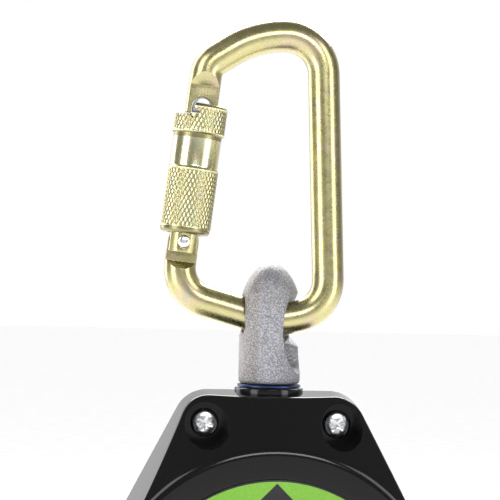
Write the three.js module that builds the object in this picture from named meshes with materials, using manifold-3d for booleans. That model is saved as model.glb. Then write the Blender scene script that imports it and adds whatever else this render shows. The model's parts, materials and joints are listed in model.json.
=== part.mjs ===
import * as THREE from 'three';
import { mergeVertices } from 'three/addons/utils/BufferGeometryUtils.js';
import Module from 'manifold-3d';

// Self retracting lifeline hanging from a twist-lock carabiner.
// Millimetres, +Z up, front of the housing towards -Y.
// The origin is the bearing point inside the top of the carabiner, on the load line.

const wasm = await Module();
wasm.setup();

// ---------------------------------------------------------------- driving dimensions
// Gaps between neighbouring pieces.
const seatGap = 0.3;
const runningGap = 0.4;

// Carabiner: a bent round bar, open between its nose and its hinge end.
const barRadius = 5.6;
const topSlopeDeg = 33;
const spineLeanDeg = 2.4;
const spineX = 16.45;
const loadLineDrop = 93.4;
const topBendX = -7;
const bottomApexX = 1.0;
const bottomRiseLeftDeg = 15.5;
const bottomRiseRightDeg = 14;
const noseBendRadius = 6;
const topBendRadius = 36;
const shoulderBendRadius = 13.3;
const heelBendRadius = 12.8;
const loadBendRadius = 32;
const hingeBendRadius = 12;
const barSides = 16;
const barSteps = 56;

// Gate line: it leans with its top towards the spine.
const gateLeanDeg = 6.5;
const hingePinX = -31.1;
const hingePinZ = -67.2;
const tongueThickness = 4.8;
const hingePinRadius = 1.6;
const hingeHeadRadius = 2.1;
const hingeHeadHeight = 0.7;
const gateEndBelowPin = 3.7;
const hingeShoulderDrop = 6.9;
const shoulderRise = 2.6;
const noseFlatLength = 9.8;
const noseShoulderRise = 4.6;
const noseWindowWidth = 7.2;
const noseWindowHeight = 5.8;
const hingeSlotDepth = 7;
const latchPinRadius = 1.4;
const latchPinRecess = 0.7;
const latchSlotDepth = 8;

// Twist-lock sleeve.
const springTurns = 5;
const sleeveStart = 2.8;
const lowerBandLength = 23;
const waistLength = 12;
const upperBandLength = 10;
const lowerBandRadius = 8.9;
const waistRadius = 8.4;
const upperBandRadius = 9.2;
const rimStep = 4;
const rimStepStartDeg = 17;
const rimStepEndDeg = 205;
const sleeveSpringRoom = 1.6;
const sleeveSpringWire = 0.4;
const gateSpringRadius = 1.9;
const gateSpringWire = 0.35;
const gateSpringBore = 2.7;
const gateSpringLength = 12;

// Swivel eye.
const eyeRadius = 11.3;
const eyeHeight = 41.8;
const eyeDomeHeight = 18.9;
const eyeCrown = 13.5;
const eyeHoleWall = 2.3;
const eyeHoleHalfHeight = 10;
const eyeHoleFlareShare = 0.407;
const eyeHoleSquareness = 3;
const eyeHoleLowHalfHeight = 5.95;
const eyeHoleRoofShare = 0.45;
const eyeHoleBlend = 4;
const eyeHoleFootShare = 0.5;
const eyeHoleFootStart = 0.18;
const eyeHoleFootEnd = 0.45;
const eyeHoleStraightWall = 2.8;
const eyeHoleSlices = 6;
const eyeHoleSides = 28;
const eyeTurnDeg = 71;
const shankRadius = 5;

// Housing: a round body with a tapering shoulder towards the eye and a tapering foot.
const eyeWasherThickness = 0.9;
const collarHeight = 0.9;
const collarRadius = 12;
const housingTopHalfWidth = 28.6;
const shoulderHeight = 74.8;
const shoulderSideDeg = 27.4;
const footSideDeg = 26;
const footDepth = 63;
const topCornerRadius = 12;
const footCornerRadius = 10;
const halfDepth = 34;
const plateauRadius = 57;
const shoulderEdgeDepth = 16.87;
const sideDraft = 0.0787;
const wall = 3;
const partingGap = 0.3;
const labelRadius = 47.6;
const labelThickness = 0.5;
const rearLabelWidth = 52;
const rearLabelHeight = 34;

// Cover screws.
const topScrewX = 22.8;
const topScrewDrop = 10.8;
const footScrewX = 27.2;
const footScrewRise = 9.5;
const screwRadius = 2.5;
const screwHeadRadius = 4.8;
const screwHeadHeight = 3;
const counterboreRadius = 7.4;
const counterboreWall = 1.9;
const screwSeatY = 9;
const screwTail = 0.8;
const insertWall = 1.1;
const insertLength = 8;
const bossWall = 2.2;
const recessArm = 2.7;
const recessWidth = 1.3;
const recessDepth = 1.4;

// Lifeline outlet at the foot.
const outletBore = 4.2;
const outletRadius = 8.6;
const outletFlangeRadius = 12;
const outletFlangeHeight = 3;
const outletStem = 9;

// Frame that carries the load from the eye to the shaft.
const plateThickness = 3;
const frontPlateSetback = 11.5;
const rearPlateSetback = 16.3;
const plateRadius = 38;
const strapHalfWidth = 12.6;
const strapTopReach = 58.5;
const footStrapReach = 57;
const yokeHalfWidth = 12.6;
const yokeTopReach = 66.5;
const yokeBottomReach = 50.7;
const yokeHalfDepth = 12;
const yokeRoof = 5;
const spacerRadius = 3.5;
const spacerX = 13.6;
const spacerReach = 52.8;

// Drum, shaft and lifeline.
const shaftRadius = 6;
const drumHubRadius = 22;
const drumFlangeRadius = 49;
const drumFlangeThickness = 3;
const drumPlateGap = 0.7;
const ropeOuterRadius = 46;
const brakeStackRoom = 13.5;
const bushWall = 2.4;
const rearBushSetback = 1.2;
const rearBushStep = 0.4;
const bushShare = 0.3;
const nutAcrossFlats = 19;
const nutHeight = 4.2;

// Brake stack on the front side of the drum.
const brakeRadius = 17;
const brakeSleeveWall = 2.7;
const frictionThickness = 1.1;
const ratchetThickness = 3.5;
const ratchetTipRadius = 22;
const ratchetToothDepth = 3.6;
const ratchetTeeth = 12;
const discSpringThickness = 0.7;
const brakeNutThickness = 1.5;

// Pawls on the drum's front flange.
const pawlPivotRadius = 35;
const pawlPinRadius = 2;
const pawlThickness = 3;
const pawlEyeRadius = 4.6;
const pawlLength = 15.5;

// Rewind spring.
const springCaseRadius = 38;
const springCaseDepth = 9.6;
const springCaseWall = 1.5;
const arborRadius = 11;
const powerSpringTurns = 6;
const powerSpringThickness = 0.7;
const powerSpringWidth = 6.2;

// ---------------------------------------------------------------- derived places
const degrees = THREE.MathUtils.degToRad;
const topZ = barRadius + 0.2;
const shoulderEdgeReach = shoulderHeight - shoulderEdgeDepth * sideDraft;
const coneFall = (halfDepth - shoulderEdgeDepth) / (shoulderEdgeReach - plateauRadius);
const frontPlateY = halfDepth - frontPlateSetback;
const rearPlateY = halfDepth - rearPlateSetback;
const drumFrontY = brakeStackRoom - frontPlateY;
const ropeRoom = rearPlateY - drumPlateGap - drumFrontY - 2 * drumFlangeThickness;
const bushLength = ropeRoom * bushShare;

// ---------------------------------------------------------------- geometry helpers
function signedVolume(geometry) {
  const flat = geometry.index ? geometry.toNonIndexed() : geometry;
  const place = flat.attributes.position;
  const a = new THREE.Vector3();
  const b = new THREE.Vector3();
  const c = new THREE.Vector3();
  let sum = 0;
  for (let i = 0; i < place.count; i += 3) {
    a.fromBufferAttribute(place, i);
    b.fromBufferAttribute(place, i + 1);
    c.fromBufferAttribute(place, i + 2);
    sum += a.dot(b.cross(c));
  }
  return sum / 6;
}

// Merges the vertices and turns the faces outwards.
function closed(geometry) {
  const bare = geometry.clone();
  bare.deleteAttribute('normal');
  bare.deleteAttribute('uv');
  const merged = mergeVertices(bare, 1e-4);
  const kept = [];
  const index = merged.index.array;
  for (let i = 0; i < index.length; i += 3) {
    const [a, b, c] = [index[i], index[i + 1], index[i + 2]];
    if (a !== b && b !== c && c !== a) kept.push(a, b, c);
  }
  if (signedVolume(merged) < 0) kept.reverse();
  merged.setIndex(kept);
  return merged;
}

function solid(geometry) {
  const mesh = closed(geometry);
  return new wasm.Manifold(new wasm.Mesh({
    numProp: 3,
    vertProperties: new Float32Array(mesh.attributes.position.array),
    triVerts: new Uint32Array(mesh.index.array),
  }));
}

function geometryOf(manifold) {
  const mesh = manifold.getMesh();
  const geometry = new THREE.BufferGeometry();
  geometry.setAttribute('position', new THREE.BufferAttribute(mesh.vertProperties, 3));
  geometry.setIndex(new THREE.BufferAttribute(mesh.triVerts, 1));
  return geometry;
}

// A lathe about the model's Y axis from [radius, y] pairs; the outline closes on itself.
function lathe(pairs, segments) {
  const outline = pairs.map(([radius, y]) => new THREE.Vector2(radius, y));
  const [first, last] = [pairs[0], pairs[pairs.length - 1]];
  if (first[0] > 0 || last[0] > 0) outline.push(outline[0].clone());
  return new THREE.LatheGeometry(outline, segments);
}

// The same about the Z axis, from [radius, z] pairs.
function latheZ(pairs, segments) {
  return lathe(pairs, segments).rotateX(Math.PI / 2);
}

function tube(inner, outer, from, to, segments) {
  return lathe([[inner, from], [outer, from], [outer, to], [inner, to]], segments);
}

function tubeZ(inner, outer, from, to, segments) {
  return latheZ([[inner, from], [outer, from], [outer, to], [inner, to]], segments);
}

function rodZ(radius, from, to, segments) {
  return latheZ([[0, from], [radius, from], [radius, to], [0, to]], segments);
}

function rod(radius, from, to, segments) {
  return lathe([[0, from], [radius, from], [radius, to], [0, to]], segments);
}

function box(x0, x1, y0, y1, z0, z1) {
  const geometry = new THREE.BoxGeometry(x1 - x0, y1 - y0, z1 - z0);
  return geometry.translate((x0 + x1) / 2, (y0 + y1) / 2, (z0 + z1) / 2);
}

// A plate with its outline in XZ, between two values of Y.
function plate(outline, from, to, holes = []) {
  const shape = new THREE.Shape(outline);
  for (const hole of holes) shape.holes.push(new THREE.Path(hole));
  const geometry = new THREE.ExtrudeGeometry(shape, { depth: to - from, bevelEnabled: false });
  return geometry.rotateX(Math.PI / 2).translate(0, to, 0);
}

function circle(radius, x, z, segments) {
  const points = [];
  for (let i = 0; i < segments; i += 1) {
    const turn = (i / segments) * 2 * Math.PI;
    points.push(new THREE.Vector2(x + radius * Math.cos(turn), z + radius * Math.sin(turn)));
  }
  return points;
}

// Rounds the corners of a chain of points; an open chain keeps its two ends.
function rounded(corners, radii, steps, open = false) {
  const points = [];
  const count = corners.length;
  for (let i = 0; i < count; i += 1) {
    const here = corners[i];
    if (open && (i === 0 || i === count - 1)) {
      points.push(here.clone());
      continue;
    }
    const back = corners[(i + count - 1) % count].clone().sub(here).normalize();
    const ahead = corners[(i + 1) % count].clone().sub(here).normalize();
    const half = Math.acos(THREE.MathUtils.clamp(back.dot(ahead), -1, 1)) / 2;
    const centre = back.clone().add(ahead).normalize().multiplyScalar(radii[i] / Math.sin(half)).add(here);
    const start = back.multiplyScalar(radii[i] / Math.tan(half)).add(here).sub(centre);
    const end = ahead.multiplyScalar(radii[i] / Math.tan(half)).add(here).sub(centre);
    const turn = Math.atan2(start.x * end.y - start.y * end.x, start.dot(end));
    for (let k = 0; k <= steps; k += 1) {
      points.push(start.clone().rotateAround(new THREE.Vector2(), (turn * k) / steps).add(centre));
    }
  }
  return points;
}

// Joins closed rings of equal length into a solid with flat ends.
function loft(rings) {
  const count = rings[0].length;
  const place = [];
  const index = [];
  for (const ring of rings) for (const point of ring) place.push(point.x, point.y, point.z);
  for (let r = 0; r + 1 < rings.length; r += 1) {
    for (let i = 0; i < count; i += 1) {
      const next = (i + 1) % count;
      const [a, b, c, d] = [r * count + i, r * count + next, (r + 1) * count + i, (r + 1) * count + next];
      index.push(a, b, d, a, d, c);
    }
  }
  const last = (rings.length - 1) * count;
  for (let i = 1; i + 1 < count; i += 1) {
    index.push(0, i + 1, i);
    index.push(last, last + i, last + i + 1);
  }
  const geometry = new THREE.BufferGeometry();
  geometry.setAttribute('position', new THREE.Float32BufferAttribute(place, 3));
  geometry.setIndex(index);
  return geometry;
}

function sweep(points, radius, sides, steps) {
  const section = new THREE.Shape(circle(radius, 0, 0, sides));
  const path = new THREE.CatmullRomCurve3(points, false, 'centripetal');
  return new THREE.ExtrudeGeometry(section, { steps, bevelEnabled: false, extrudePath: path });
}

function helix(radius, wire, from, to, turns, stepsPerTurn) {
  const points = [];
  const count = turns * stepsPerTurn;
  for (let i = 0; i <= count; i += 1) {
    const turn = (i / stepsPerTurn) * 2 * Math.PI;
    const z = THREE.MathUtils.lerp(from, to, i / count);
    points.push(new THREE.Vector3(radius * Math.cos(turn), radius * Math.sin(turn), z));
  }
  return sweep(points, wire, 5, count);
}

function material(colour, roughness, metalness) {
  return new THREE.MeshStandardMaterial({ color: colour, roughness, metalness });
}

const chromateSteel = material(0xb9ad72, 0.38, 1);
const castGrey = material(0x85868a, 0.55, 0.85);
const blackPlastic = material(0x0c0c0e, 0.2, 0);
const brightSteel = material(0xc9cbce, 0.28, 1);
const plainSteel = material(0x8d9094, 0.45, 1);
const bluedSteel = material(0x1c2a4a, 0.4, 0.8);
const bronze = material(0x9a7440, 0.5, 0.9);
const springSteel = material(0x5a5f68, 0.4, 0.9);
const frictionLining = material(0x4a3b30, 0.9, 0);
const greenPrint = material(0x8cc63f, 0.45, 0);
const silverPrint = material(0xc4c6c8, 0.4, 0.1);
const wireRope = material(0xa4a7aa, 0.5, 0.9);
const aluminium = material(0xb4b7ba, 0.45, 0.9);

const lifeline = new THREE.Group();

function add(name, geometry, finish, parent = lifeline) {
  const ready = geometry.delete ? geometryOf(geometry) : closed(geometry);
  const mesh = new THREE.Mesh(ready, finish);
  mesh.name = name;
  parent.add(mesh);
  return mesh;
}

// ---------------------------------------------------------------- carabiner
// Everything on the gate line is drawn upright about the hinge pin, then leaned over.
const gateLine = new THREE.Group();
gateLine.position.set(hingePinX, 0, hingePinZ);
gateLine.rotation.y = degrees(gateLeanDeg);
gateLine.updateMatrix();
lifeline.add(gateLine);

const sleeveEnd = sleeveStart + lowerBandLength + waistLength + upperBandLength;
const lowRim = sleeveEnd - rimStep;
// The nose stops above the path that the low rim follows when the gate swings.
const noseEnd = Math.hypot(lowRim, upperBandRadius) + seatGap;
const noseFlatTop = noseEnd + noseFlatLength;
const tongueRadius = barRadius - 0.3;

function onGateLine(along) {
  const lean = degrees(gateLeanDeg);
  return new THREE.Vector2(hingePinX + along * Math.sin(lean), hingePinZ + along * Math.cos(lean));
}

// Where the line through p with slope angle a meets the line through q with slope angle b.
function meet(p, a, q, b) {
  const da = new THREE.Vector2(Math.cos(degrees(a)), Math.sin(degrees(a)));
  const db = new THREE.Vector2(Math.cos(degrees(b)), Math.sin(degrees(b)));
  const gap = q.clone().sub(p);
  const along = (gap.x * db.y - gap.y * db.x) / (da.x * db.y - da.y * db.x);
  return da.multiplyScalar(along).add(p);
}

const topBend = new THREE.Vector2(topBendX, topZ);
const noseBend = meet(topBend, topSlopeDeg, onGateLine(0), 90 - gateLeanDeg);
const spineTop = new THREE.Vector2(spineX, topZ);
const loadSag = loadBendRadius * (1 / Math.cos(degrees((bottomRiseLeftDeg + bottomRiseRightDeg) / 2)) - 1);
const loadBend = new THREE.Vector2(bottomApexX, -loadLineDrop - loadSag);
const heelBend = meet(spineTop, spineLeanDeg - 90, loadBend, bottomRiseRightDeg);
const hingeBend = meet(loadBend, -bottomRiseLeftDeg, onGateLine(0), 90 - gateLeanDeg);

const barPath = rounded(
  [
    onGateLine(noseEnd),
    noseBend,
    topBend,
    spineTop,
    heelBend,
    loadBend,
    hingeBend,
    onGateLine(-gateEndBelowPin),
  ],
  [0, noseBendRadius, topBendRadius, shoulderBendRadius, heelBendRadius, loadBendRadius, hingeBendRadius, 0],
  6,
  true,
).map((point) => new THREE.Vector3(point.x, 0, point.y));

function leaned(geometry) {
  return geometry.clone().applyMatrix4(gateLine.matrix);
}

// Flats on both sides of the bar between two heights on the gate line, with a sloping shoulder.
function sideCut(side, thickness, flatEnd, shoulderEnd, beyond) {
  const outside = barRadius + 1;
  const inner = thickness / 2;
  const slope = (barRadius - inner) / (shoulderEnd - flatEnd);
  const outline = [
    [inner, beyond],
    [inner, flatEnd],
    [outside, flatEnd + (outside - inner) / slope],
    [outside, beyond],
  ].map(([y, z]) => new THREE.Vector2(side * y, z));
  const geometry = new THREE.ExtrudeGeometry(new THREE.Shape(outline), { depth: 16, bevelEnabled: false });
  geometry.rotateX(Math.PI / 2).rotateZ(Math.PI / 2).translate(-8, 0, 0);
  return leaned(geometry);
}

function carabinerBody() {
  let body = solid(sweep(barPath, barRadius, barSides, barSteps));
  for (const side of [-1, 1]) {
    const noseCut = sideCut(side, tongueThickness, noseFlatTop, noseFlatTop + noseShoulderRise, noseEnd - 3);
    const hingeTop = -hingeShoulderDrop;
    const hingeCut = sideCut(side, tongueThickness, hingeTop, hingeTop - shoulderRise, hingeSlotDepth);
    body = body.subtract(solid(noseCut)).subtract(solid(hingeCut));
  }
  const tongue = [];
  for (let i = 0; i <= 12; i += 1) {
    const turn = (i / 12) * Math.PI;
    tongue.push(new THREE.Vector2(tongueRadius * Math.cos(turn), tongueRadius * Math.sin(turn)));
  }
  tongue.push(new THREE.Vector2(-tongueRadius, -hingeShoulderDrop));
  tongue.push(new THREE.Vector2(tongueRadius, -hingeShoulderDrop));
  body = body.add(solid(leaned(plate(tongue, -tongueThickness / 2, tongueThickness / 2))));
  body = body.subtract(solid(leaned(rod(hingePinRadius + seatGap, -barRadius, barRadius, 20))));
  const half = noseWindowWidth / 2;
  const windowTop = noseEnd + noseWindowHeight;
  const opening = circle(half, 0, windowTop - half, 20).slice(0, 11);
  opening.push(new THREE.Vector2(-half, noseEnd - 2));
  opening.push(new THREE.Vector2(half, noseEnd - 2));
  return body.subtract(solid(leaned(plate(opening, -barRadius, barRadius))));
}

function noseKeeper() {
  const half = noseWindowWidth / 2 - seatGap;
  const top = noseEnd + noseWindowHeight - seatGap;
  const outline = circle(half, 0, top - half, 20).slice(0, 11);
  outline.push(new THREE.Vector2(-half, noseEnd + seatGap));
  outline.push(new THREE.Vector2(half, noseEnd + seatGap));
  return plate(outline, -tongueThickness / 2 + 0.9, tongueThickness / 2 - 0.9);
}

function hingePin() {
  const seat = barRadius + seatGap;
  const top = seat + hingeHeadHeight;
  return lathe([
    [0, -top],
    [hingeHeadRadius * 0.6, -top + 0.15],
    [hingeHeadRadius, -seat - 0.2],
    [hingeHeadRadius, -seat],
    [hingePinRadius, -seat],
    [hingePinRadius, seat],
    [hingeHeadRadius, seat],
    [hingeHeadRadius, seat + 0.2],
    [hingeHeadRadius * 0.6, top - 0.15],
    [0, top],
  ], 20);
}

function gateBar() {
  const gateTop = noseEnd - 2 * seatGap;
  const slot = tongueThickness / 2 + seatGap;
  const springTop = hingeSlotDepth + gateSpringLength;
  let bar = solid(rodZ(barRadius, -gateEndBelowPin, gateTop, 28));
  bar = bar.subtract(solid(box(-8, 8, -slot, slot, -9, hingeSlotDepth)));
  bar = bar.subtract(solid(box(-8, 8, -slot, slot, gateTop - latchSlotDepth, gateTop + 1)));
  bar = bar.subtract(solid(rodZ(gateSpringBore, hingeSlotDepth - 1, springTop, 16)));
  bar = bar.subtract(solid(rod(hingePinRadius + seatGap, -8, 8, 20)));
  const latch = rod(latchPinRadius + seatGap, -8, 8, 16).translate(0, 0, gateTop - latchSlotDepth / 2);
  return bar.subtract(solid(latch));
}

function lockSleeve() {
  const bore = barRadius + runningGap;
  const room = bore + sleeveSpringRoom;
  const lowerEnd = sleeveStart + lowerBandLength;
  const upperStart = lowerEnd + waistLength;
  const edge = 0.6;
  let sleeve = solid(latheZ([
    [bore, sleeveStart],
    [lowerBandRadius - 2 * edge, sleeveStart],
    [lowerBandRadius - edge / 2, sleeveStart + edge],
    [lowerBandRadius, sleeveStart + 2 * edge],
    [lowerBandRadius, lowerEnd],
    [waistRadius, lowerEnd + edge],
    [waistRadius, upperStart - edge],
    [upperBandRadius, upperStart],
    [upperBandRadius, sleeveEnd - edge],
    [upperBandRadius - edge, sleeveEnd],
    [bore, sleeveEnd],
    [bore, upperStart],
    [room, upperStart - edge],
    [room, sleeveStart + 4],
    [bore, sleeveStart + 3],
  ], 32));
  const reach = upperBandRadius + 2;
  const pie = [new THREE.Vector2(0, 0)];
  const steps = 14;
  for (let i = 0; i <= steps; i += 1) {
    const turn = degrees(THREE.MathUtils.lerp(rimStepStartDeg, rimStepEndDeg, i / steps));
    pie.push(new THREE.Vector2(-reach * Math.sin(turn), -reach * Math.cos(turn)));
  }
  const notch = new THREE.ExtrudeGeometry(new THREE.Shape(pie), { depth: rimStep + 1, bevelEnabled: false });
  sleeve = sleeve.subtract(solid(notch.translate(0, 0, lowRim)));
  return sleeve;
}

const gateTop = noseEnd - 2 * seatGap;
const latchZ = gateTop - latchSlotDepth / 2;
const sleeveSpringRadius = barRadius + runningGap + sleeveSpringRoom / 2 - 0.15;

add('carabiner_body', carabinerBody(), chromateSteel);
add('nose_keeper', noseKeeper(), plainSteel, gateLine);
add('gate_hinge_pin', hingePin(), brightSteel, gateLine);
add('gate_bar', gateBar(), chromateSteel, gateLine);
const latchPinReach = barRadius - latchPinRecess;
const latchPin = rod(latchPinRadius, -latchPinReach, latchPinReach, 16).translate(0, 0, latchZ);
add('gate_latch_pin', latchPin, brightSteel, gateLine);
const springStart = hingeSlotDepth + gateSpringWire + 0.8;
const springStop = hingeSlotDepth + gateSpringLength - gateSpringWire - seatGap;
const gateSpring = helix(gateSpringRadius, gateSpringWire, springStart, springStop, springTurns, 8);
add('gate_spring', gateSpring, springSteel, gateLine);
add('lock_sleeve', lockSleeve(), chromateSteel, gateLine);
const sleeveSpringFrom = sleeveStart + 5;
const sleeveSpringTo = sleeveStart + lowerBandLength + waistLength - 2;
const sleeveSpring = helix(
  sleeveSpringRadius,
  sleeveSpringWire,
  sleeveSpringFrom,
  sleeveSpringTo,
  springTurns,
  12,
);
add('sleeve_spring', sleeveSpring, springSteel, gateLine);

// ---------------------------------------------------------------- swivel eye
const crownZ = -loadLineDrop + barRadius + seatGap;
const eyeApex = crownZ + eyeCrown;
const eyeBase = eyeApex - eyeHeight;
const washerBottom = eyeBase - seatGap - eyeWasherThickness;
const collarTop = washerBottom - seatGap;
const housingTop = collarTop - collarHeight;
const housingCentre = housingTop - shoulderHeight;

const eyeHoleHalfWidth = eyeRadius - eyeHoleWall;
const eyeHoleStraightWidth = eyeRadius - eyeHoleStraightWall;
const eyeHoleFlare = eyeRadius * eyeHoleFlareShare;

// The opening is tall on the side that its axis leans to and low on the other. It flares only where
// the bar crosses it at an angle, and its far foot is narrow.
function eyeHole() {
  const rings = [];
  for (let i = -eyeHoleSlices; i <= eyeHoleSlices; i += 1) {
    const u = (i / eyeHoleSlices) * (eyeRadius + 1);
    const flare = (eyeHoleFlare / eyeHoleHalfHeight) * (u / eyeRadius) ** 2;
    const openSide = THREE.MathUtils.smoothstep(u, -eyeHoleBlend, eyeHoleBlend);
    const halfHeight = THREE.MathUtils.lerp(eyeHoleLowHalfHeight, eyeHoleHalfHeight, openSide);
    const flared = eyeHoleHalfWidth * (1 + flare);
    const nearWidth = THREE.MathUtils.lerp(flared, eyeHoleStraightWidth, openSide);
    const farWidth = THREE.MathUtils.lerp(eyeHoleStraightWidth, flared, openSide);
    const power = 2 / eyeHoleSquareness;
    const ring = circle(1, 0, 0, eyeHoleSides).map((point) => {
      const across = Math.sign(point.x) * Math.abs(point.x) ** power;
      const up = Math.sign(point.y) * Math.abs(point.y) ** power;
      const farFoot = openSide * THREE.MathUtils.smoothstep(-up, eyeHoleFootStart, eyeHoleFootEnd);
      const width = point.x > 0 ? nearWidth : farWidth * (1 - eyeHoleFootShare * farFoot);
      const footFlare = up < 0 ? openSide : 1 + eyeHoleRoofShare * (1 - openSide);
      const rise = halfHeight * (1 + flare * footFlare);
      return new THREE.Vector3(across * width, u, crownZ - halfHeight + up * rise);
    });
    rings.push(ring);
  }
  return loft(rings).rotateZ(Math.PI + degrees(eyeTurnDeg));
}

// The crossbar's inner roof, under which the swivel nut hangs.
const yokeTop = housingCentre + yokeTopReach;
const yokeBottom = housingCentre + yokeBottomReach;
const yokeRoofZ = yokeTop - yokeRoof;
const bearingThickness = 1.4;
const bearingBottom = yokeRoofZ - seatGap - bearingThickness;
const swivelNutTop = bearingBottom - seatGap;
const swivelNutHeight = yokeRoofZ - yokeBottom - bearingThickness - 4 * seatGap - 0.6;

function swivelEye() {
  const outline = [[0, eyeBase], [eyeRadius - 0.6, eyeBase], [eyeRadius, eyeBase + 0.8]];
  for (let i = 0; i < 12; i += 1) {
    const turn = (i / 12) * (Math.PI / 2);
    outline.push([eyeRadius * Math.cos(turn), eyeApex - eyeDomeHeight + eyeDomeHeight * Math.sin(turn)]);
  }
  outline.push([0, eyeApex]);
  const shank = rodZ(shankRadius, swivelNutTop - swivelNutHeight, eyeBase + 1, 20);
  return solid(latheZ(outline, 32)).subtract(solid(eyeHole())).add(solid(shank));
}

function hexagon(acrossFlats) {
  return circle(acrossFlats / Math.sqrt(3), 0, 0, 6);
}

function hexNutZ(acrossFlats, bore, bottom, height) {
  const shape = new THREE.Shape(hexagon(acrossFlats));
  shape.holes.push(new THREE.Path(circle(bore, 0, 0, 20)));
  return new THREE.ExtrudeGeometry(shape, { depth: height, bevelEnabled: false }).translate(0, 0, bottom);
}

const shankBore = shankRadius + seatGap;
const yokeBoreRadius = 9.9;
add('swivel_eye', swivelEye(), castGrey);
const washerTop = washerBottom + eyeWasherThickness;
const eyeWasher = tubeZ(shankBore, eyeRadius - seatGap, washerBottom, washerTop, 28);
add('eye_washer', eyeWasher, bluedSteel);
add('swivel_nut', hexNutZ(16, shankBore, swivelNutTop - swivelNutHeight, swivelNutHeight), plainSteel);
add('thrust_washer', tubeZ(shankBore, 9.3, bearingBottom, bearingBottom + bearingThickness, 20), bronze);

// ---------------------------------------------------------------- housing
const bodyRadius = housingTopHalfWidth * Math.cos(degrees(shoulderSideDeg))
  + shoulderHeight * Math.sin(degrees(shoulderSideDeg));

// The housing's outline, moved inwards by an inset.
function housingOutline(inset, steps) {
  const distance = bodyRadius - inset;
  const top = shoulderHeight - inset;
  const foot = -(footDepth - inset);
  const shoulder = degrees(shoulderSideDeg);
  const footAngle = degrees(footSideDeg);
  const topX = (distance - top * Math.sin(shoulder)) / Math.cos(shoulder);
  const footX = (distance + foot * Math.sin(footAngle)) / Math.cos(footAngle);
  const half = (shoulder + footAngle) / 2;
  const reach = distance / Math.cos(half);
  const midTurn = (shoulder - footAngle) / 2;
  const midX = reach * Math.cos(midTurn);
  const midZ = reach * Math.sin(midTurn);
  const corners = [
    [topX, top], [-topX, top], [-midX, midZ], [-footX, foot], [footX, foot], [midX, midZ],
  ].map(([x, z]) => new THREE.Vector2(x, z));
  const topRound = topCornerRadius - inset;
  const footRound = footCornerRadius - inset;
  return rounded(corners, [topRound, topRound, distance, footRound, footRound, distance], steps);
}

// Half of the housing's bulk on one side of the parting plane, shrunk by an inset.
function halfBulk(side, inset, steps, segments) {
  const depth = halfDepth - inset;
  const startY = partingGap / 2;
  const rings = [startY, depth].map((y) => housingOutline(inset + sideDraft * y, steps).map(
    (point) => new THREE.Vector3(point.x, side * y, point.y),
  ));
  const slant = inset * Math.sqrt(1 + coneFall * coneFall);
  const rimRadius = plateauRadius - (slant - inset) / coneFall;
  const baseRadius = rimRadius + depth / coneFall;
  const cone = lathe([[0, -1], [baseRadius + 1 / coneFall, -1], [rimRadius, depth], [0, depth]], segments);
  if (side < 0) cone.scale(1, -1, 1);
  return solid(loft(rings)).intersect(solid(cone)).translate([0, 0, housingCentre]);
}

const screwPlaces = [
  [-topScrewX, housingTop - topScrewDrop],
  [topScrewX, housingTop - topScrewDrop],
  [-footScrewX, housingCentre - footDepth + footScrewRise],
  [footScrewX, housingCentre - footDepth + footScrewRise],
];
const insertRadius = screwRadius + seatGap + insertWall;
const footZ = housingCentre - footDepth;

function cover(side) {
  const outer = halfBulk(side, 0, 6, 48);
  const cavity = halfBulk(side, wall, 4, 32);
  let shell = outer.subtract(cavity);
  const opening = solid(loft([0, wall + 2].map((y) => housingOutline(wall + sideDraft * y, 4).map(
    (point) => new THREE.Vector3(point.x, side * (y - 1), point.y + housingCentre),
  ))));
  shell = shell.subtract(opening);
  const collar = rodZ(collarRadius, housingTop - 1, collarTop, 40);
  const halfSpace = side < 0
    ? box(-90, 90, -60, -partingGap / 2, housingCentre - 90, 0)
    : box(-90, 90, partingGap / 2, 60, housingCentre - 90, 0);
  shell = shell.add(solid(collar).intersect(solid(halfSpace)));
  for (const [x, z] of screwPlaces) {
    const bossRadius = side < 0 ? counterboreRadius + counterboreWall : insertRadius + bossWall;
    const reach = side * halfDepth;
    const start = side * partingGap / 2;
    const boss = rod(bossRadius, Math.min(start, reach), Math.max(start, reach), 28).translate(x, 0, z);
    shell = shell.add(solid(boss).intersect(outer));
  }
  for (const [x, z] of screwPlaces) {
    if (side < 0) {
      const seat = rod(counterboreRadius, -halfDepth - 2, -screwSeatY, 28).translate(x, 0, z);
      const through = rod(screwRadius + seatGap, -halfDepth, 2, 16).translate(x, 0, z);
      shell = shell.subtract(solid(seat)).subtract(solid(through));
    } else {
      const pocketDepth = insertLength + screwTail + seatGap;
      const pocket = rod(insertRadius + seatGap, -2, pocketDepth, 20).translate(x, 0, z);
      shell = shell.subtract(solid(pocket));
    }
  }
  const shankHole = rodZ(shankBore + runningGap, housingTop - 20, collarTop + 1, 24);
  const outletHole = rodZ(outletRadius + seatGap, footZ - 5, footZ + 20, 28);
  shell = shell.subtract(solid(shankHole)).subtract(solid(outletHole));
  const recess = labelThickness + seatGap;
  if (side < 0) {
    const pocket = rod(labelRadius + seatGap, -halfDepth - 1, -halfDepth + recess, 48);
    shell = shell.subtract(solid(pocket.translate(0, 0, housingCentre)));
  } else {
    const [x, z] = [rearLabelWidth / 2 + seatGap, rearLabelHeight / 2 + seatGap];
    const pocket = box(-x, x, halfDepth - recess, halfDepth + 1, housingCentre - z, housingCentre + z);
    shell = shell.subtract(solid(pocket));
  }
  return shell;
}

const labelFace = -halfDepth;
add('front_cover', cover(-1), blackPlastic);
add('rear_cover', cover(1), blackPlastic);
const frontLabel = rod(labelRadius, labelFace, labelFace + labelThickness, 48);
add('front_label', frontLabel.translate(0, 0, housingCentre), greenPrint);
add('rear_label', box(
  -rearLabelWidth / 2,
  rearLabelWidth / 2,
  halfDepth - labelThickness,
  halfDepth,
  housingCentre - rearLabelHeight / 2,
  housingCentre + rearLabelHeight / 2,
), silverPrint);

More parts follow.
